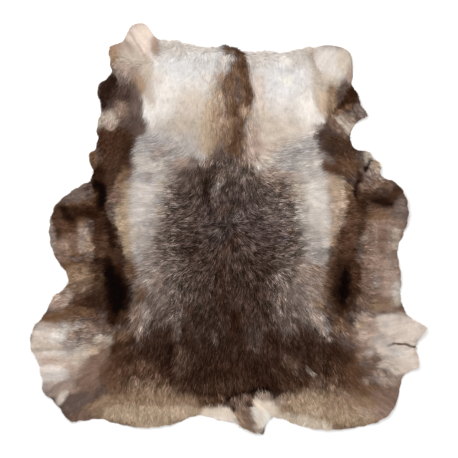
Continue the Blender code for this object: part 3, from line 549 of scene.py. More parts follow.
    ("left shoulder low", "fog", ((-26, 22.8, 1.4), (-23, 22.8, 1.4)), .9),
    ("left shoulder low", "grey", (-20.1, 22.8, 1.4, 1.2), .7),
    ("left flank", "grey", (-22.8, 15.2, 1.2, 1.1), .8),
    ("right shoulder", "fog", ((19.4, 23.4, 1.4), (22.3, 23.4, 1.6), (24, 24.8, 1.2)), .9),
    ("right shoulder low", "fog", (17.2, 18, 1.5, 1.2), .9),
    ("right shoulder", "silver", ((20.2, 17.3, 1.3), (23, 18.8, 1.4)), .9),
    ("mane root", "grey", (7.3, 21.8, 1.2, 1.2), .8),
    ("right side", "blush", (35, 30.4, 1.3, 1), .9),
    ("back right", "grey", (16, 11.1, 1.4, 1.2), .8),
    ("right side low", "mouse", (20.9, -16.2, 1.4, 1.2), .8),
    ("left foreleg low", "clay", (-48.3, -7.3, 1.2, 1.3), .9),
    ("back line", "bark", ((2.3, -2.2, 1.2), (-1.9, -6.8, 1.3)), .7, 1.3),
    ("left side low", "slate", ((-20.1, -25.2, 1.5), (-16.6, -23.4, .9), (-13.2, -21.9, 1.6)), .8),
    ("left flank edge, foot", "mouse", (-33.7, 5.4, 1.4, 2.4), .9),
    ("left foreleg top dark", "slate", (-47.6, 8.5, 1.6, 1), .9),
    ("left foreleg", "hazel", (-48, -15.5, 1.6, 1.5), .8),
    ("left stifle", "clay", ((-48.4, -19.4, 1.2), (-48.8, -22.8, 1.4)), .8),
    ("left stifle", "umber", ((-52.4, -26.4, 1), (-48.4, -26.1, 1.2), (-44.6, -26, 1.4)), .8),
    ("left haunch tufts low", "clay", ((-43.4, -30.4, 1.1), (-41.6, -30.8, 1.4), (-40, -33, 1.2)), .6),
    ("left hollow", "clay", ((-27, -22.2, 1.2), (-26.9, -26, 1.3), (-26.9, -29.2, 1.6)), .7),
    ("left heel", "rose", (-44.6, -46.8, 1.5, 1.1), .7),
    ("left hind", "umber", ((-34.3, -46.3, 1.5), (-30.4, -46.3, 1.6)), .8),
    ("rump upper", "graphite", ((-9.7, -28.8, 2), (-2.7, -27.6, 2.6), (7.4, -27.2, 3)), .45, 1.3),
    ("rump right dip", "peat", ((14.6, -32.2, 1.6), (17.8, -32, 1.6)), .7),
    ("lock right light", "silver", (28.5, -28.9, 1, 1.4), .9),
    ("right stifle", "ash", (35.4, -25.6, 1.4, 1.2), .8),
    ("right stifle light", "camel", ((41.6, -22.4, 1.5), (46.4, -22.6, 1.4)), .8),
    ("right foreleg tuft", "grey", (42.6, -15.4, 1.4, 2), .7),
    ("right haunch", "fawn", (42.1, -29.4, 1.6, 1.7), .8),
    ("right haunch shade", "paleGrey", (49, -36.2, 2.4, 1.3), .9),
    ("right haunch", "clay", (39, -36.4, 1.5, 1.3), .6),
    ("rump right", "bark", ((25, -35.8, 1.6), (26.3, -38.6, 1.8), (28.6, -38.8, 1.4)), .7),
    ("rump right", "walnut", ((32.3, -39.2, 1.3), (32, -42.6, 1.2)), .7),
    ("right hind", "mouse", (42.5, -43.2, 1.5, 1.2), .7),
    ("right hind", "clay", (46, -46.7, 1.5, 1.2), .8),
    ("rump low right", "bark", (14.8, -42.6, 1.6, 1.4), .7),
    ("tail tuft left", "cream", ((7.9, -49.8, 1.2), (8.3, -52.4, 1.2), (8.4, -54.6, 1)), 1, 1.1),
    ("right hem", "fawn", (14.8, -49.6, 1.5, 1.3), .7),
    ("rump top left", "bark", (-11.4, -23.1, 1.8, 1.4), .8),
    ("rump line", "loam", ((.8, -23.4, 1), (2, -26, 1.5), (1.8, -29.4, 1.3)), .9),
    ("rump right tufts", "slate", ((8.4, -25.4, 1.3), (8, -29, 1.3), (14.4, -26.2, 1.2),
        (14.6, -29, 1.2)), .6, 1.3),
    ("rump centre tuft", "slate", (6.2, -29, 1.4, 1.4), .7),
    ("rump left tuft", "graphite", ((-8.6, -28.8, 1.3), (-8.6, -32, 1.2)), .6),
    ("right side low", "grey", ((17.6, -20.2, 1.2), (20.5, -20.4, 1.2)), .7),
    ("right side low", "mouse", (23.3, -20.2, 1.3, 1.4), .8),
    ("rump corner", "bark", ((-14.4, -46.6, 1.2), (-11.4, -46, 1.2)), .8),
    ("left haunch top", "white", ((-50.6, -30.8, 1.2), (-48.2, -30.8, 1.5)), .9),
    ("left haunch", "fawn", (-45.9, -30.8, 1.3, 1.5), .8),
    ("left haunch step light", "sand", (-38.9, -35.2, 1.5, 1.2), .8),
    ("right haunch hollow", "silver", ((43.6, -32.2, 1.5), (47.8, -35.6, 1.3)), .6),
    ("right stifle", "rose", (46.6, -23.6, 1.6, 1), .8),
    ("right foreleg rim light", "oat", ((48.7, -.6, 1.1), (48.7, -5, 1.1)), .8),
    ("right foreleg top deep", "graphite", (44.4, 11.2, 1.6, 1.1), .8),
    ("right hollow head", "peat", (39.6, 6.6, 1.3, 1.5), .8, 1.3),
    ("mane foot", "chestnut", (2.2, 30.4, 1.4, 1.8), .6),
    ("right withers", "dust", (7, 21.2, 1.8, 1.6), .9),
    ("right shoulder shade", "silver", (20.6, 21.4, 2, 1.4), .8),
    ("left withers", "slate", ((-13.6, 16.2, 1), (-10.8, 16.4, 1.1)), .85),
    ("withers", "rose", (-2.2, 16.4, 1.5, 1.3), .8),
    ("right neck side", "oat", ((25.4, 40.6, 1.4), (25.8, 37.8, 1.2)), .7),
    ("left tab shade", "dust", ((-31.4, 53.4, 1.2), (-29, 52.6, 1.3)), .6),
    ("left side", "rose", (-34.5, 30.2, 1.5, 1.2), .9),
    ("left flank edge, foot", "umber", (-34.6, 7, 1.2, 1.4), .7),
    ("right flank edge, foot", "hazel", (30.2, -2.7, 1.1, 1.6), .8),
    ("back right", "dusk", (15.8, -2.5, 1.9, 1.6), .9),
    ("right side low", "rose", (24.6, -12, 1.8, 1.5), .7),
    ("left hollow foot", "walnut", (-29.8, -25.6, 1.5, 1.2), .8),
    ("rump right edge", "clay", (25.8, -44, 2, 1.4), .8, 1.3),
    ("right hem", "clay", (32, -48, 1.6, 1.3), .7),
    ("left hem", "straw", ((-16.5, -53.4, 1.4), (-11.2, -53.1, 1.3)), .8),
    ("right hem", "dust", (39.8, -53.6, 2, 1.4), .6),
    ("tail tuft middle", "cream", ((7.4, -52.6, .9), (7.8, -54.6, .9)), .9, 1.1),
    ("back left", "slate", (-11, 15.2, 1.6, 1.2), .9),
    ("right withers", "silver", (20.6, 21, 2.2, 1.4), .8),
    ("right withers", "dust", (15.8, 15.4, 1.6, 1.2), .8),
    ("right neck", "grey", (25, 30, 1.6, 1.4), .7),
    ("mane left", "tan", (-2.6, 44.8, 1.1, 1.5), .9),
    ("mane", "chestnut", (2.9, 48.3, .9, 1.3), .8),
    ("right neck", "snow", (16.5, 44.4, 1.8, 1.6), .9),
    ("left flank edge, foot", "graphite", (-34.6, 6.8, 1.3, 1.5), .8),
    ("left flank edge, top", "bark", (-34.7, 11.4, 1.2, 1.4), .7),
    ("left side", "dust", (-34.5, 30.4, 1.6, 1.3), 1),
    ("left stifle", "umber", (-53.4, -26, 1.2, 1.3), .8),
    ("left stifle", "fawn", (-48.6, -21.2, 1.1, 1.1), .9),
    ("left foreleg inner", "slate", ((-40.4, 2.2, .9), (-40.3, -.4, .8)), .7),
    # painted shade in the gap at the top of the right foreleg
    ("right foreleg gap", "charcoal", (45.6, 10.8, 1.2, 1.1), .9),
    ("right side rim", "straw", ((27, 39.4, 1.1), (26.9, 35.6, 1.2)), .9, 1.3),
    ("right foreleg patch", "dust", (39.6, -2.6, 1.3, 1.5), .7),
    ("right side low", "camel", (25.4, -21.6, 1.6, 1.3), .8),
    ("right stifle inner", "graphite", (34.8, -26, 1.4, 1.2), .8),
    ("right stifle inner", "chestnut", (30.2, -30.2, 1.5, 1.2), .7),
    ("right haunch", "linen", (48.2, -41, 1.7, 1), .9),
    ("right hem top", "dust", (40, -44, 1.6, 1.1), .5),
    ("right haunch low", "silver", (40.4, -36.2, 1.2, 1.1), .6),
    ("rump left", "hazel", (-6.8, -48.8, 1.9, .9), .9, 1.3),
    ("tail tuft bright", "white", (7.5, -53.1, 1.3, 1.7), 1, 1.1),
    ("tail side", "camel", (2.6, -53.1, 1.2, 1.1), 1, 1.1),
    ("right foreleg tip", "pale", (48.9, -16.5, 1.1, 1.1), .9),
    ("right foreleg low", "oat", (48.3, -21.2, 1.3, 1.3), .9),
    ("right hollow foot", "peat", (35.2, -20.9, 1.3, 1.2), .8),
)


def softStep(share):
    share = np.clip(share, 0.0, 1.0)
    return share * share * (3.0 - 2.0 * share)


def ovalRadius(oval, x, y):
    # 0 in the middle of the oval, 1 on its border
    middleX, middleY, halfWidth, halfLength, turn = (*oval, 0)[:5]
    cosine, sine = math.cos(math.radians(turn)), math.sin(math.radians(turn))
    dx, dy = x - middleX * cm, y - middleY * cm
    across = (dx * cosine - dy * sine) / (halfWidth * cm)
    along = (dy * cosine + dx * sine) / (halfLength * cm)
    return np.hypot(across, along)


def bandRadius(band, x, y):
    # 0 on the band's middle line, 1 at its border
    radius = np.full(np.shape(x), np.inf)
    for (x0, y0, half0), (x1, y1, half1) in zip(band, band[1:]):
        alongX, alongY = (x1 - x0) * cm, (y1 - y0) * cm
        share = ((x - x0 * cm) * alongX + (y - y0 * cm) * alongY) / (alongX**2 + alongY**2)
        share = np.clip(share, 0.0, 1.0)
        away = np.hypot(x - x0 * cm - share * alongX, y - y0 * cm - share * alongY)
        radius = np.minimum(radius, away / ((half0 + share * (half1 - half0)) * cm))
    return radius


def edgeShare(radius, edge):
    return softStep((1.0 + edge / 2.0 - radius) / edge)


def linear(tone):
    share = np.array(tone) / 255.0
    return np.where(share <= .04045, share / 12.92, ((share + .055) / 1.055) ** 2.4)


def coatColoursWithPaintedLight(x, y):
    # the colour of the markings, with their painted shade and highlights, at each place, linear
    colours = np.tile(linear(tones[coatLook["ground"]]), (len(x), 1))
    for where, tone, shape, strength, *edge in markingsAndPaintedLight:
        edge = edge[0] if edge else coatLook["edge"]
        isOval = not isinstance(shape[0], tuple)
        points = [(*shape[:2], max(shape[2:4]))] if isOval else shape
        reach = max(p[2] for p in points) * (1.0 + edge / 2.0)
        left, right = (min(p[0] for p in points) - reach) * cm, (max(p[0] for p in points) + reach) * cm
        low, high = (min(p[1] for p in points) - reach) * cm, (max(p[1] for p in points) + reach) * cm
        near = np.flatnonzero((x > left) & (x < right) & (y > low) & (y < high))
        radius = (ovalRadius if isOval else bandRadius)(shape, x[near], y[near])
        share = strength * edgeShare(radius, edge)
        colours[near] += share[:, None] * (linear(tones[tone]) - colours[near])
    lost = np.exp(-colours.mean(axis=1) / coatLook["darkBelow"])[:, None] * np.array(coatLook["darkLoses"])
    return colours * (1.0 - lost)


# Which way the hair lies, in centimetres and degrees, each laid over those before it. The last
# column is a heading, 0 towards +X and 90 towards the neck, or the point that the hair fans out from.
groundHeading = -90
liesEdge = .8  # how softly one lie turns into the next
hairLies = (
    # name, x, y, half width, half length, turn, heading
    ("neck, left", -16, 40, 15, 20, 0, -98),
    ("neck, right", 18, 40, 15, 20, 0, -82),
    ("left shoulder", -24, 22, 15, 9, 0, -160),
    ("right shoulder", 24, 21, 15, 10, 0, 8),
    ("back, left", -16, -1, 18, 19, 0, 188),
    ("back, right", 16, 1, 18, 19, 0, -6),
    ("whorl", 0, -3, 8, 9, 0, (0, 1)),
    ("withers", -2, 13, 10, 10, 0, -95),
    ("left flank", -28, 2, 14, 22, 0, 183),
    ("right flank", 28, 3, 14, 22, 0, -2),
    ("lower back", 0, -26, 36, 15, 0, (0, 14)),
    ("rump, left", -24, -41, 16, 12, 0, -108),
    ("rump, right", 24, -41, 16, 12, 0, -66),
    ("left hem", -28, -53, 20, 8, 0, -95),
    ("right hem", 30, -53, 20, 8, 0, -78),
    ("left foreleg", -47, -2, 13, 22, 0, 186),
    ("right foreleg", 47, -3, 13, 22, 0, -4),
    ("left haunch", -50, -36, 16, 15, 0, 184),
    ("left hind leg", -43, -50, 10, 9, 0, -140),
    ("right haunch", 50, -34, 16, 13, 0, 8),
    ("right hind leg", 45, -48, 11, 9, 0, -35),
    ("left neck side", -36, 33, 9, 20, 0, -125),
    ("right neck side", 36, 32, 9, 18, 0, -55),
    ("left cheek tab", -27, 57, 10, 9, 0, 115),
    ("right cheek tab", 31, 50, 9, 9, 0, 62),
    ("tail", 5.5, -54.5, 4, 7, 40, -50),
)


def hairHeadings(x, y):
    # unit vectors along the way the hair lies
    start = math.radians(groundHeading)
    along = np.tile((math.cos(start), math.sin(start)), (len(x), 1))
    for name, *oval, heading in hairLies:
        share = edgeShare(ovalRadius(oval, x, y), liesEdge)[:, None]
        if isinstance(heading, tuple):
            away = np.stack([x - heading[0] * cm, y - heading[1] * cm], axis=1)
            towards = away / np.maximum(np.hypot(*away.T), 1e-6)[:, None]
        else:
            towards = np.array((math.cos(math.radians(heading)), math.sin(math.radians(heading))))
        along = along + share * (towards - along)
    return along / np.maximum(np.hypot(*along.T), 1e-6)[:, None]


# What the hair is like, each laid over those before it. The last seven columns, and groundHair where
# no row reaches, are length in mm, lift in degrees, width in mm, gathering into tufts, spread in
# degrees, unevenness from hair to hair, and unevenness of broad streaks.
groundHair = (26, 28, 1.2, .65, 15, 1.75, .3)
kindsEdge = .7  # how softly one kind turns into the next
hairKinds = (
    # name, x, y, half width, half length, turn; the seven
    ("neck", 0, 39, 36, 21, 0, 38, 10, 2.2, .3, 7, .08, .08),
    ("mane", 1, 38, 7, 20, 0, 30, 20, 1.4, .6, 9, .6, .22),
    ("withers", 0, 14, 22, 8, 0, 28, 32, 1.2, .7, 18, 1.3, .4),
    ("left shoulder", -20, 20, 12, 8, 0, 34, 14, 1.6, .5, 9, .5, .28),
    ("right shoulder", 21, 20, 13, 8, 0, 34, 14, 1.6, .5, 9, .5, .28),
    ("left flank", -27, 2, 9, 24, 3, 34, 14, 1.4, .5, 7, .28, .2),
    ("right flank", 28, 2, 9, 24, -3, 34, 14, 1.4, .5, 7, .28, .2),
    ("left low flank", -24, -19, 8, 14, 0, 30, 18, 1.3, .6, 18, .72, .22),
    ("right low flank", 24, -19, 8, 14, 0, 30, 18, 1.3, .6, 18, .68, .2),
    ("rump", 0, -36, 36, 16, 0, 32, 28, 1.3, .7, 20, 1.2, .28),
    ("left hem", -27, -53, 24, 8, 0, 18, 15, 1.1, .45, 20, .52, .17),
    ("right hem", 29, -53, 24, 8, 0, 18, 15, 1.1, .45, 17, .52, .2),
    ("left foreleg", -47, -3, 11, 21, 0, 14, 9, 1.2, .35, 9, .4, .36),
    ("right foreleg", 47, -4, 10, 22, 0, 14, 9, 1.2, .35, 9, .3, .3),
    ("left haunch", -48, -36, 18, 19, 0, 20, 9, 1.5, .4, 6, .14, .26),
    ("right haunch", 49, -36, 17, 19, 0, 20, 9, 1.5, .4, 6, .13, .2),
    ("left hollow", -35, -6, 7, 28, 6, 20, 13, 1.1, .5, 12, .7, .3),
    ("right hollow", 35, -4, 6, 28, -3, 20, 13, 1.1, .5, 12, .7, .3),
    ("left neck side", -36, 33, 8, 20, 0, 14, 11, 1.1, .3, 10, .6, .3),
    ("right neck side", 36, 32, 8, 20, 0, 14, 11, 1.1, .3, 10, .6, .3),
    ("left cheek tab", -27, 57, 9, 9, 0, 10, 6, 1.4, .1, 5, .1, .14),
    ("right cheek tab", 31, 50, 9, 9, 0, 10, 6, 1.4, .1, 5, .12, .12),
    ("left tufts", -42.5, -29.5, 6, 5, 0, 20, 20, 1.2, .8, 16, .65, .25),
    ("left stifle tufts", -46, -18, 6, 5, 20, 20, 18, 1.2, .7, 14, .6, .25),
    ("right hind tufts", 42, -42, 6, 5, 0, 22, 18, 1.2, .7, 14, .5, .2),
    ("hem tuft", -3.5, -55, 7, 4, 0, 16, 12, 1.4, .3, 8, .1, .08),
    ("tail", 5.5, -54.5, 4, 8, 35, 30, 14, 1.3, .6, 7, .4, .2),
    ("tail tuft", 11, -52, 4, 5, 0, 24, 12, 1.5, .4, 7, .15, .12),
)


def hairAt(x, y):
    # the seven values of hairKinds at each place
    kinds = np.tile(np.array(groundHair, float), (len(x), 1))
    for row in hairKinds:
        share = edgeShare(ovalRadius(row[1:6], x, y), kindsEdge)[:, None]
        kinds += share * (np.array(row[6:], float) - kinds)
    return kinds.T


seeds = {
    "lumps": 5, "halfSizeLumps": 6, "swirl": 7, "raggedX": 8, "raggedY": 9, "mottle": (10, 11),
    "tufts": 21, "fineStreak": 31, "broadStreak": 32, "hairPieces": 100,
}
noiseCells = 97  # softNoise repeats after this many cells


def softNoise(x, y, size, seed):
    # smooth random values from -1 to 1 that change over the given distance
    grid = np.random.default_rng(seed).uniform(-1, 1, (noiseCells, noiseCells))
    u, v = x / size, y / size
    column, row = np.floor(u).astype(int), np.floor(v).astype(int)
    across, up = softStep(u - column), softStep(v - row)

    def corner(right, above):
        return grid[(column + right) % noiseCells, (row + above) % noiseCells]

    low = corner(0, 0) + across * (corner(1, 0) - corner(0, 0))
    high = corner(0, 1) + across * (corner(1, 1) - corner(0, 1))
    return low + up * (high - low)


class Wire:
    # one shader socket: the operators add Math nodes
    def __init__(self, graph, socket):
        self.graph, self.socket = graph, socket

    def maths(self, operation, other):
        return self.graph.node("ShaderNodeMath", {"operation": operation}, {0: self, 1: other})

    def __add__(self, other):
        return self.maths("ADD", other)

    def __mul__(self, other):
        return self.maths("MULTIPLY", other)

    __radd__ = __add__
    __rmul__ = __mul__


class Finish:
    # a material and its nodes
    def __init__(self, name):
        self.material = bpy.data.materials.new(name)
        self.material.use_nodes = True
        self.nodes = self.material.node_tree.nodes
        self.links = self.material.node_tree.links
        self.shader = self.nodes["Principled BSDF"]

    def node(self, kind, settings, values, out=0):
        made = self.nodes.new(kind)
        for key, value in settings.items():
            if key == "stops":
                self.setStops(made.color_ramp, value)
            else:
                setattr(made, key, value)
        for key, value in values.items():
            self.feed(made.inputs[key], value)
        return Wire(self, made.outputs[out])

    def setStops(self, ramp, stops):
        while len(ramp.elements) > 1:
            ramp.elements.remove(ramp.elements[-1])
        for number, (place, colour) in enumerate(stops):
            stop = ramp.elements.new(place) if number else ramp.elements[0]
            stop.position, stop.color = place, (*colour, 1)

    def feed(self, socket, value):
        if isinstance(value, Wire):
            self.links.new(value.socket, socket)
        else:
            socket.default_value = value

    def place(self, scale=(1, 1, 1), turn=(0, 0, 0)):
        here = self.node("ShaderNodeTexCoord", {}, {}, "Object")
        return self.node("ShaderNodeMapping", {}, {"Vector": here, "Scale": scale, "Rotation": turn})

    def noise(self, place, scale, detail, roughness):
        return self.node("ShaderNodeTexNoise", {}, {
            "Vector": place, "Scale": scale, "Detail": detail, "Roughness": roughness})

    def ramp(self, value, places, colours):
        return self.node("ShaderNodeValToRGB", {"stops": tuple(zip(places, colours))}, {"Fac": value})

    def times(self, first, second):
        return self.node("ShaderNodeMix", {"data_type": "RGBA", "blend_type": "MULTIPLY"}, {
            0: 1.0, 6: first, 7: second}, 2)

    def bump(self, height, look):
        strength, depth = look["bump"]
        return self.node("ShaderNodeBump", {}, {"Strength": strength, "Distance": depth, "Height": height})

    def rough(self, value, look):
        least, added = look["roughness"]
        return least + value * added

    def hairTone(self):
        return self.node("ShaderNodeAttribute", {"attribute_name": "hairTone"}, {}, "Color")

    def finish(self, **values):
        for key, value in values.items():
            self.feed(self.shader.inputs[key], value)
        return self.material


def addPiece(name, mesh, finish):
    piece = bpy.data.objects.new(name, mesh)
    bpy.context.scene.collection.objects.link(piece)
    piece.data.materials.append(finish)
    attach(piece, "root")
    return piece


def applyModifiers(piece):
    graph = bpy.context.evaluated_depsgraph_get()
    made = bpy.data.meshes.new_from_object(piece.evaluated_get(graph))
    old = piece.data
    piece.modifiers.clear()
    piece.data = made
    bpy.data.meshes.remove(old)


def readVerts(mesh):
    places = np.empty(len(mesh.vertices) * 3)
    normals = np.empty(len(mesh.vertices) * 3)
    mesh.vertices.foreach_get("co", places)
    mesh.vertices.foreach_get("normal", normals)
    return places.reshape(-1, 3), normals.reshape(-1, 3)


def setTones(mesh, colours):
    tone = mesh.attributes.new("hairTone", "FLOAT_COLOR", "POINT")
    opaque = np.column_stack([colours, np.ones(len(colours))])
    tone.data.foreach_set("color", opaque.astype(np.float32).ravel())


underSlope = -.3  # the underside's faces point down more than this


def shellOf(cadHide, isUnder):
    # the CAD hide's underside, or its top and rim
    shell = bmesh.new()
    shell.from_mesh(cadHide.data)
    bmesh.ops.remove_doubles(shell, verts=shell.verts, dist=.01 * mm)
    shell.normal_update()
    others = [face for face in shell.faces if (face.normal.z < underSlope) != isUnder]
    bmesh.ops.delete(shell, geom=others, context="FACES")
    return shell


def rimPoints(shell):
    # four points along each side of the underside's edge
    points = []
    for edge in shell.edges:
        if edge.is_boundary:
            start, stop = (vert.co for vert in edge.verts)
            points += [start.lerp(stop, quarter / 4.0) for quarter in range(4)]
    return points


def rimDistance(places, rim):
    # distance from the rim as seen from above, and the way out to it
    tree = kdtree.KDTree(len(rim))
    for number, point in enumerate(rim):
        tree.insert((point.x, point.y, 0.0), number)
    tree.balance()
    found = [tree.find((x, y, 0.0)) for x, y in places[:, :2]]
    distance = np.array([f[2] for f in found])
    outward = np.array([f[0][:2] for f in found]) - places[:, :2]
    return distance, outward / np.maximum(distance, 1e-6)[:, None]


skinLook = {
    "thickness": 2.0 * mm,
    "flatSize": (1.155, 1.20),  # width and length of the cut
    "flatArea": 1.03,
    "tones": ((.44, .31, .21), (.62, .47, .33), (.74, .61, .47)),  # darkest, usual and lightest suede
    "toneStops": (.35, .6, .8),
    "napScale": 900,
    "cloudScale": 14,
    "scrapeScale": 3.0,
    "scrapeStretch": (40, 6, 40),
    "scrapeTurn": (0, 0, .35),
    "shares": (.55, .3, .25),  # how much clouds, scrapes and nap count in the tone
    "bump": (.5, .0006),  # strength and depth
    "roughness": (.80, .14),  # least, and what the nap adds
}


def suedeFinish():
    # the flesh side: pale tanned suede with a short nap and faint scrape marks
    f, look = Finish("tanned suede"), skinLook
    nap = f.noise(f.place(), look["napScale"], 3.0, .7)
    clouds = f.noise(f.place(), look["cloudScale"], 4.0, .6)
    scrapes = f.noise(f.place(look["scrapeStretch"], look["scrapeTurn"]), look["scrapeScale"], 3.0, .6)
    cloudy, scraped, napped = look["shares"]
    share = clouds * cloudy + scrapes * scraped + nap * napped
    return f.finish(**{
        "Base Color": f.ramp(share, look["toneStops"], look["tones"]),
        "Roughness": f.rough(nap, look),
        "Specular IOR Level": .2,
        "Sheen Weight": .2,
        "Normal": f.bump(nap + scrapes * .6, look),
    })


def buildSkin(cadHide):
    shell = shellOf(cadHide, True)
    mesh = bpy.data.meshes.new("hideSkin")
    shell.to_mesh(mesh)
    shell.free()
    skin = addPiece("hideSkin", mesh, suedeFinish())
    thick = skin.modifiers.new("thickness", "SOLIDIFY")
    thick.thickness, thick.offset = skinLook["thickness"], -1.0
    finer = skin.modifiers.new("finer", "SUBSURF")
    finer.subdivision_type, finer.levels = "SIMPLE", 1
    applyModifiers(skin)
    skin.data.shade_smooth()
    return skin


woolLook = {
    "height": .74,  # share of the coat's depth that the wool fills
    "clearOfFloor": 1.6 * mm,
    "evening": 12,  # rounds that even out the slab's facets
    "evenFrom": 30 * mm,  # they work fully from this far inside the rim
    "lumpSize": 11 * mm,
    "lumpHeight": 1.6 * mm,
    "lumpsFrom": 20 * mm,  # the lumps are full from this far inside the rim
    "lumpsAtLength": 25.0,  # and where the hair is this long in mm
    "fewestLumps": .2,
    "evenCoatLumps": .1,  # share of the lumps where the coat is even
    "halfSizeLumps": .6,
    "shade": (.95, .5),  # painted shade: the wool under the hair is darker where the coat is uneven
    "fluffScale": 260,
    "clotScale": 60,
    "clotShades": ((.78, .77, .76), (1.12, 1.11, 1.10)),
    "clotStops": (.25, .75),
    "bump": (.9, .0015),
    "roughness": (.89, .1),  # least, and what the fluff adds
}


def woolFinish():
    # dull matted wool under the hair
    f, look = Finish("undercoat wool"), woolLook
    fluff = f.noise(f.place(), look["fluffScale"], 4.0, .65)
    clots = f.noise(f.place(), look["clotScale"], 3.0, .55)
    shade = f.ramp(clots * .5 + fluff * .5, look["clotStops"], look["clotShades"])
    return f.finish(**{
        "Base Color": f.times(f.hairTone(), shade),
        "Roughness": f.rough(fluff, look),
        "Specular IOR Level": .05,
        "Normal": f.bump(fluff, look),
    })


def buildWool(cadHide):
    look = woolLook
    underside = shellOf(cadHide, True)
    below = BVHTree.FromBMesh(underside)
    rim = rimPoints(underside)
    shell = shellOf(cadHide, False)
    for vert in shell.verts:
        hit = below.ray_cast(Vector((vert.co.x, vert.co.y, -1.0)), Vector((0, 0, 1)))[0]
        floor = (hit.z if hit else below.find_nearest(vert.co)[0].z) + look["clearOfFloor"]
        vert.co.z = floor + max(vert.co.z - floor, 0.0) * look["height"]
    mesh = bpy.data.meshes.new("undercoatWool")
    shell.to_mesh(mesh)
    shell.free()
    underside.free()
    wool = addPiece("undercoatWool", mesh, woolFinish())
    finer = wool.modifiers.new("finer", "SUBSURF")
    finer.levels = finer.render_levels = 1
    applyModifiers(wool)

    places, normals = readVerts(wool.data)
    distance, outward = rimDistance(places, rim)
    evenOut(wool.data, places, softStep(distance / look["evenFrom"]))
    x, y = places[:, 0], places[:, 1]
    length, contrast = hairAt(x, y)[[0, 5]]
    height = look["lumpHeight"] * np.clip(length / look["lumpsAtLength"], look["fewestLumps"], 1.0)
    height *= np.clip(look["evenCoatLumps"] + contrast, .0, 1.0)
    lumps = softNoise(x, y, look["lumpSize"], seeds["lumps"])
    lumps += look["halfSizeLumps"] * softNoise(x, y, look["lumpSize"] / 2, seeds["halfSizeLumps"])
    places += normals * (lumps * height * softStep(distance / look["lumpsFrom"]))[:, None]
    wool.data.vertices.foreach_set("co", places.ravel())
    wool.data.update()
    wool.data.shade_smooth()
    # painted shade on the wool under the hair, deeper where the coat is uneven
    even, rough = look["shade"]
    shade = even + (rough - even) * np.minimum(contrast, 1.0)
    setTones(wool.data, coatColoursWithPaintedLight(places[:, 0], places[:, 1]) * shade[:, None])
    return wool, rim


def evenOut(mesh, places, share):
    # draws each height towards its neighbours' mean
    ends = np.empty(2 * len(mesh.edges), int)
    mesh.edges.foreach_get("vertices", ends)
    first, second = ends.reshape(-1, 2).T
    total = len(places)
    count = np.bincount(ends, minlength=total)
    for _ in range(woolLook["evening"]):
        around = np.bincount(first, places[second, 2], total) + np.bincount(second, places[first, 2], total)
        places[:, 2] += share * (around / count - places[:, 2])


hairLook = {
    # how it lies
    "tuftSize": 3.6 * mm,
    "tuftSpread": 2.2,  # how far whole tufts turn, as a share of the kind's spread
    "straySpread": .3,  # the same for single hairs
    "swirlSize": 42 * mm,
    "swirlTurn": 16,  # degrees that larger tufts turn the hair
    "rimOverhang": (-.02, .24),  # how far it stands out past the skin's edge, as a share of its length
    "rimTurn": 22 * mm,  # over this distance from the rim the hair turns outwards
    "rimPull": .75,  # how much of it does
    "rimFlatter": .5,  # how much of its lift it loses there
    "rimSlant": .15,  # least share of outward heading that the overhang is worked out with
    # its shape
    "lengths": (.7, 1.15),  # share of the kind's length, from hair to hair
    "tuftLengths": (.8, .4),  # a tuft's least share of the length, and what it may add
    "lifts": (.6, 1.35),
    "widths": (.7, 1.3),
    "shortest": 6 * mm,
    "rootDepth": 1.0 * mm,
    "clearOfFloor": .4 * mm,
    "droop": .45,  # how far a tip sinks again, as a share of its rise
    "bend": .10,  # sideways bend, as a share of the length
    "tipBends": (.2, 1.2),  # the tip's bend as a share of the middle's
    "roll": 50,  # degrees that a blade is turned about its length
    # its colour
    # the root's darkening is partly the hair's own darker base and partly painted shade deep among the
    # hairs
    "rootShade": .42,
    "middleShade": .90,
    "tipShade": 1.16,
    "tuftContrast": .42,
    "hairContrast": .30,
    "fineStreak": (2.1 * mm, 18 * mm, .75),  # width, length, contrast
    "broadStreak": (8 * mm, 70 * mm, 1.0),
    "mottle": .10,
    "mottleSizes": (22 * mm, 60 * mm),
    "usualContrast": .4,  # the mean brightness is kept for hair this uneven
    "calmLight": 1.6,  # how much less uneven light hair is than dark hair
    "calmFrom": 1.3,
    "calmest": .35,
    "brightness": (.2, 4.5),  # least and most
    "warmth": np.array((.10, .0, -.12)),  # red, green and blue between one tuft and the next
    "greying": .28,  # how far the lighter hairs turn grey and the darker ones brown
    "toneLimits": (.001, .93),
    "ragged": 5 * mm,  # how far the markings' borders wander, less where the coat is even
    "raggedSize": 16 * mm,
    "raggedWhenEven": .35,
    "raggedStray": .35,  # how much more single hairs do
    "ownShading": (.15, .75),  # how much of its own slope a hair shows where the coat is even and uneven
    # its finish
    "fleckScale": 1100,
    "fleckShades": ((.88, .87, .86), (1.08, 1.08, 1.07)),
    "bandScale": 95,
    "bandStretch": (1, 1, 2),
    "bandShades": ((.96, .955, .95), (1.03, 1.03, 1.025)),
    "shadeStops": (.3, .7),
    "bump": (.25, .0004),
    "roughness": (.64, .16),  # least, and what the flecks add
}
hairPieces = {
    # name: x from, x to, y from, y to in cm, number of hairs
    "hairNeckLeft": (-70, 2, 17, 70, 56000),
    "hairNeckRight": (2, 70, 17, 70, 56000),
    "hairBack": (-21, 21, -24, 17, 65000),
    "hairLeftSide": (-70, -21, -24, 17, 56000),
    "hairRightSide": (21, 70, -24, 17, 56000),
    "hairRump": (-22, 22, -70, -24, 60000),
    "hairLeftHaunch": (-70, -22, -70, -24, 50000),
    "hairRightHaunch": (22, 70, -70, -24, 50000),
}


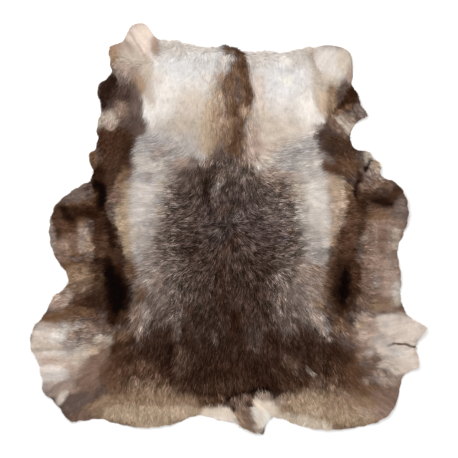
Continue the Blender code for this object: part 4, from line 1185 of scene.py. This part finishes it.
def hairFinish():
    # the marking's colour, with flecks along the hair
    f, look = Finish("guard hair"), hairLook
    flecks = f.noise(f.place(), look["fleckScale"], 3.0, .6)
    bands = f.noise(f.place(look["bandStretch"]), look["bandScale"], 2.0, .5)
    fleckShade = f.ramp(flecks, look["shadeStops"], look["fleckShades"])
    bandShade = f.ramp(bands, look["shadeStops"], look["bandShades"])
    return f.finish(**{
        "Base Color": f.times(f.times(f.hairTone(), fleckShade), bandShade),
        "Roughness": f.rough(flecks, look),
        "Specular IOR Level": .02,
        "Normal": f.bump(flecks, look),
    })


def triangleTable(wool, rim):
    # what a hair needs to know at each corner of the wool's triangles
    wool.data.calc_loop_triangles()
    corners = np.empty(len(wool.data.loop_triangles) * 3, int)
    wool.data.loop_triangles.foreach_get("vertices", corners)
    places, normals = readVerts(wool.data)
    distance, outward = rimDistance(places, rim)
    table = np.column_stack([places, normals, distance, outward])[corners.reshape(-1, 3)]
    sides = table[:, 1:, :3] - table[:, :1, :3]
    areas = np.linalg.norm(np.cross(sides[:, 0], sides[:, 1]), axis=1) / 2.0
    return table, areas


def rootsIn(table, areas, area, rng):
    # hair roots spread evenly over one part of the coat
    left, right, low, high, count = area
    x, y = table[:, :, :2].mean(axis=1).T / cm
    inside = (x > left) & (x <= right) & (y > low) & (y <= high)
    table, areas = table[inside], areas[inside]
    steps = np.cumsum(areas)
    pick = np.searchsorted(steps, (np.arange(count) + rng.random(count)) / count * steps[-1])
    pick = np.minimum(pick, len(steps) - 1)
    u, v = rng.random(count), rng.random(count)
    flip = u + v > 1.0
    u[flip], v[flip] = 1.0 - u[flip], 1.0 - v[flip]
    first, second, third = table[pick].transpose(1, 0, 2)
    return first + u[:, None] * (second - first) + v[:, None] * (third - first)


tuftCells = 128  # the tufts repeat after this many cells


def tuftsAt(x, y, size):
    # middle of the tuft that each hair belongs to, with four random shares for the tuft
    dice = np.random.default_rng(seeds["tufts"]).random((tuftCells, tuftCells, 6))
    column, row = np.floor(x / size).astype(int), np.floor(y / size).astype(int)
    nearest = np.full(len(x), np.inf)
    middle, shares = np.zeros((len(x), 2)), np.zeros((len(x), 4))
    for across in (-1, 0, 1):
        for up in (-1, 0, 1):
            rolled = dice[(column + across) % tuftCells, (row + up) % tuftCells]
            there = np.stack([column + across + rolled[:, 0], row + up + rolled[:, 1]], axis=1) * size
            away = np.hypot(there[:, 0] - x, there[:, 1] - y)
            closer = away < nearest
            nearest[closer] = away[closer]
            middle[closer], shares[closer] = there[closer], rolled[closer, 2:]
    return middle, shares


def combed(x, y, along, streak, seed):
    # smooth random values, about -1 to 1, drawn out along the hair
    size, length, contrast = streak
    steps = np.linspace(-.5, .5, 7)
    places = [(x + along[:, 0] * step * length, y + along[:, 1] * step * length) for step in steps]
    return contrast * (sum(softNoise(px, py, size, seed) for px, py in places) / math.sqrt(len(steps)))


def turned(along, angle):
    x, y = along.T
    return np.stack([x * np.cos(angle) - y * np.sin(angle), x * np.sin(angle) + y * np.cos(angle)], axis=1)


def unit(vectors):
    return vectors / np.maximum(np.linalg.norm(vectors, axis=1), 1e-9)[:, None]


evenSpread = 3.4  # a random share from 0 to 1, less a half and times this, spreads like a normal draw


def growHair(name, area, table, areas, finish, seed):
    look = hairLook
    rng = np.random.default_rng(seed)
    found = rootsIn(table, areas, area, rng)
    root, normal, distance, outward = found[:, :3], unit(found[:, 3:6]), found[:, 6], found[:, 7:9]
    x, y, count = root[:, 0], root[:, 1], len(found)
    length, lift, width, gathering, spread, contrast, broad = hairAt(x, y)
    middle, tuft = tuftsAt(x, y, look["tuftSize"])
    uneven = np.minimum(contrast, 1.0)

    # the way each hair points: its field, its tuft, its own spread, and outwards at the rim
    swirl = softNoise(x, y, look["swirlSize"], seeds["swirl"]) * look["swirlTurn"]
    along = turned(hairHeadings(x, y), np.radians(swirl))
    fineStreak, broadStreak = (
        combed(x, y, along, look[streak], seeds[streak]) for streak in ("fineStreak", "broadStreak"))
    strays = (tuft[:, 0] - .5) * look["tuftSpread"] + rng.normal(0, 1, count) * look["straySpread"]
    along = turned(along, np.radians(spread * strays))
    atRim = softStep(1.0 - distance / look["rimTurn"])[:, None]
    along = unit(along * (1.0 - look["rimPull"] * atRim) + outward * look["rimPull"] * atRim)

    least, added = look["tuftLengths"]
    length = length * mm * rng.uniform(*look["lengths"], count) * (least + added * tuft[:, 1])
    lift = np.radians(lift * rng.uniform(*look["lifts"], count)) * (1.0 - look["rimFlatter"] * atRim[:, 0])
    outwards = np.maximum((along * outward).sum(axis=1), look["rimSlant"])
    room = (distance + rng.uniform(*look["rimOverhang"], count) * length) / outwards
    length = np.maximum(np.minimum(length, room / np.cos(lift)), look["shortest"])

    # the blade: foot, knee with its two sides, and tip
    flat = np.column_stack([along, np.zeros(count)])
    flat = unit(flat - normal * (flat * normal).sum(axis=1)[:, None])
    side = np.cross(normal, flat)
    pull = np.column_stack([middle - root[:, :2], np.zeros(count)]) * gathering[:, None]

    def at(share, bend):
        ahead = flat * (length * np.cos(lift) * share)[:, None]
        rise = normal * (length * np.sin(lift) * (share - look["droop"] * share**2))[:, None]
        return root + ahead + rise + side * (length * bend)[:, None] + pull * share

    bend = rng.normal(0, look["bend"], count)
    foot = root - normal * look["rootDepth"]
    knee = at(.5, bend)
    tip = at(1.0, bend * rng.uniform(*look["tipBends"], count))
    blade = unit(tip - foot)
    across = np.cross(normal, blade)
    roll = (np.radians(rng.uniform(-look["roll"], look["roll"], count)) * uneven)[:, None]
    across = unit(across * np.cos(roll) + np.cross(blade, across) * np.sin(roll))
    half = (width * mm * rng.uniform(*look["widths"], count) / 2.0)[:, None]
    corners = np.stack([foot, knee - across * half, knee + across * half, tip], axis=1)
    corners[:, :, 2] = np.maximum(corners[:, :, 2], look["clearOfFloor"])

    # its colour: the marking, or the painted shade or highlight, where the hair shows, lighter or darker
    # from tuft to tuft and hair to hair
    ragged = look["ragged"] * np.clip(look["raggedWhenEven"] + contrast, .0, 1.0)
    seenX, seenY = (
        knee[:, axis] + ragged * (softNoise(x, y, look["raggedSize"], seeds[seedName])
                                  + rng.normal(0, look["raggedStray"], count))
        for axis, seedName in enumerate(("raggedX", "raggedY")))
    colour = coatColoursWithPaintedLight(seenX, seenY)
    change = look["tuftContrast"] * (tuft[:, 2] - .5) * evenSpread
    change = change + look["hairContrast"] * rng.normal(0, 1, count)
    mottle = (softNoise(x, y, size, seedOf) for size, seedOf in zip(look["mottleSizes"], seeds["mottle"]))
    change += fineStreak + look["mottle"] * sum(mottle)
    calm = np.clip(look["calmFrom"] - look["calmLight"] * colour.mean(axis=1), look["calmest"], 1.0)
    calm = contrast * calm
    keptMean = (calm * look["usualContrast"])**2 / 2.0
    bright = np.clip(np.exp(calm * change - keptMean + broad * broadStreak), *look["brightness"])
    warmth = ((tuft[:, 3] - .5) * np.minimum(2.0 * contrast, 1.0))[:, None] * look["warmth"]
    colour = colour * bright[:, None] * (1.0 + warmth)
    grey = colour.mean(axis=1)[:, None]
    colour += (grey - colour) * (look["greying"] * np.clip(np.log(bright), -1.0, 1.0))[:, None]

    # darker at the root, partly the hair's own darker base and partly painted shade deep among the hairs,
    # lighter at the tip, and shaded partly like the coat that it lies on
    shades = np.array((look["rootShade"], look["middleShade"], look["middleShade"], look["tipShade"]))
    shades = 1.0 + (shades[None, :] - 1.0) * uneven[:, None]
    toneOf = np.clip(colour[:, None, :] * shades[:, :, None], *look["toneLimits"])
    even, rough = look["ownShading"]
    own = unit(np.cross(blade, across))
    facing = unit(normal + (even + (rough - even) * uneven)[:, None] * (own - normal))
    return addPiece(name, bladeMesh(name, corners, toneOf, facing), finish)


def bladeMesh(name, corners, toneOf, facing):
    # every hair is two triangles that meet across its middle, with its own spot in the UV map
    count = len(corners)
    mesh = bpy.data.meshes.new(name)
    mesh.vertices.add(4 * count)
    mesh.vertices.foreach_set("co", corners.astype(np.float32).ravel())
    order = (np.arange(count)[:, None] * 4 + np.array((0, 1, 2, 2, 1, 3))[None, :]).ravel()
    mesh.loops.add(6 * count)
    mesh.loops.foreach_set("vertex_index", order.astype(np.int32))
    mesh.polygons.add(2 * count)
    mesh.polygons.foreach_set("loop_start", np.arange(0, 6 * count, 3, dtype=np.int32))
    mesh.update(calc_edges=True)
    mesh.validate()
    setTones(mesh, toneOf.reshape(-1, 3))

    # in pixels of a map 1024 wide, with a square of 4 for each hair
    spots = np.array(((2.0, .7), (.7, 2.0), (3.3, 2.0), (2.0, 3.3)))
    square, mapWidth = 4.0, 1024.0
    row, column = np.divmod(np.arange(count), int(mapWidth / square))
    cell = np.stack([column, row], axis=1) * square
    places = (cell[:, None, :] + spots[None, :, :]).reshape(-1, 2)[order] / mapWidth
    mesh.uv_layers.new(name="OFBake").data.foreach_set("uv", places.astype(np.float32).ravel())
    mesh.shade_smooth()
    mesh.normals_split_custom_set_from_vertices(np.repeat(facing, 4, axis=0))
    return mesh


studioLook = {
    "floorColour": (.90, .90, .90),
    "floorRoughness": .9,
    "floorReach": 6,
    "skyStrength": .94,
    "keyPower": 75,
    "keySize": 2.6,
    "keyPlace": (-.9, 1.5, 3.0),
    "cameraHeight": 3.73,
    "lens": 100,
    "sensor": 36,
}


def buildStudio():
    look = studioLook
    f = Finish("pale floor")
    f.finish(**{"Base Color": (*look["floorColour"], 1), "Roughness": look["floorRoughness"]})
    mesh = bpy.data.meshes.new("floor")
    far = look["floorReach"]
    mesh.from_pydata([(-far, -far, 0), (far, -far, 0), (far, far, 0), (-far, far, 0)], [], [(0, 1, 2, 3)])
    floor = bpy.data.objects.new("floor", mesh)
    mesh.materials.append(f.material)
    bpy.context.scene.collection.objects.link(floor)

    world = bpy.data.worlds.new("soft sky")
    world.use_nodes = True
    sky = world.node_tree.nodes["Background"]
    sky.inputs["Color"].default_value = (1, 1, 1, 1)
    sky.inputs["Strength"].default_value = look["skyStrength"]
    bpy.context.scene.world = world

    light = bpy.data.lights.new("key", "AREA")
    light.shape, light.size, light.energy = "DISK", look["keySize"], look["keyPower"]
    key = bpy.data.objects.new("key", light)
    key.location = look["keyPlace"]
    key.rotation_euler = (-Vector(look["keyPlace"])).to_track_quat("-Z", "Y").to_euler()
    bpy.context.scene.collection.objects.link(key)

    lens = bpy.data.cameras.new("camera")
    lens.lens, lens.sensor_width = look["lens"], look["sensor"]
    camera = bpy.data.objects.new("camera", lens)
    camera.location = (0, 0, look["cameraHeight"])
    bpy.context.scene.collection.objects.link(camera)
    bpy.context.scene.camera = camera
    bpy.context.scene.view_settings.view_transform = "Standard"


buildStudio()
print("floor, light and camera are in place")

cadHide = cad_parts["hide"]
skin = buildSkin(cadHide)
print("skin:", len(skin.data.polygons), "faces")
wool, rim = buildWool(cadHide)
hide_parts("hide")
print("undercoat wool:", len(wool.data.polygons), "faces")

table, areas = triangleTable(wool, rim)
finish = hairFinish()
for number, (name, area) in enumerate(hairPieces.items()):
    growHair(name, area, table, areas, finish, seeds["hairPieces"] + number)
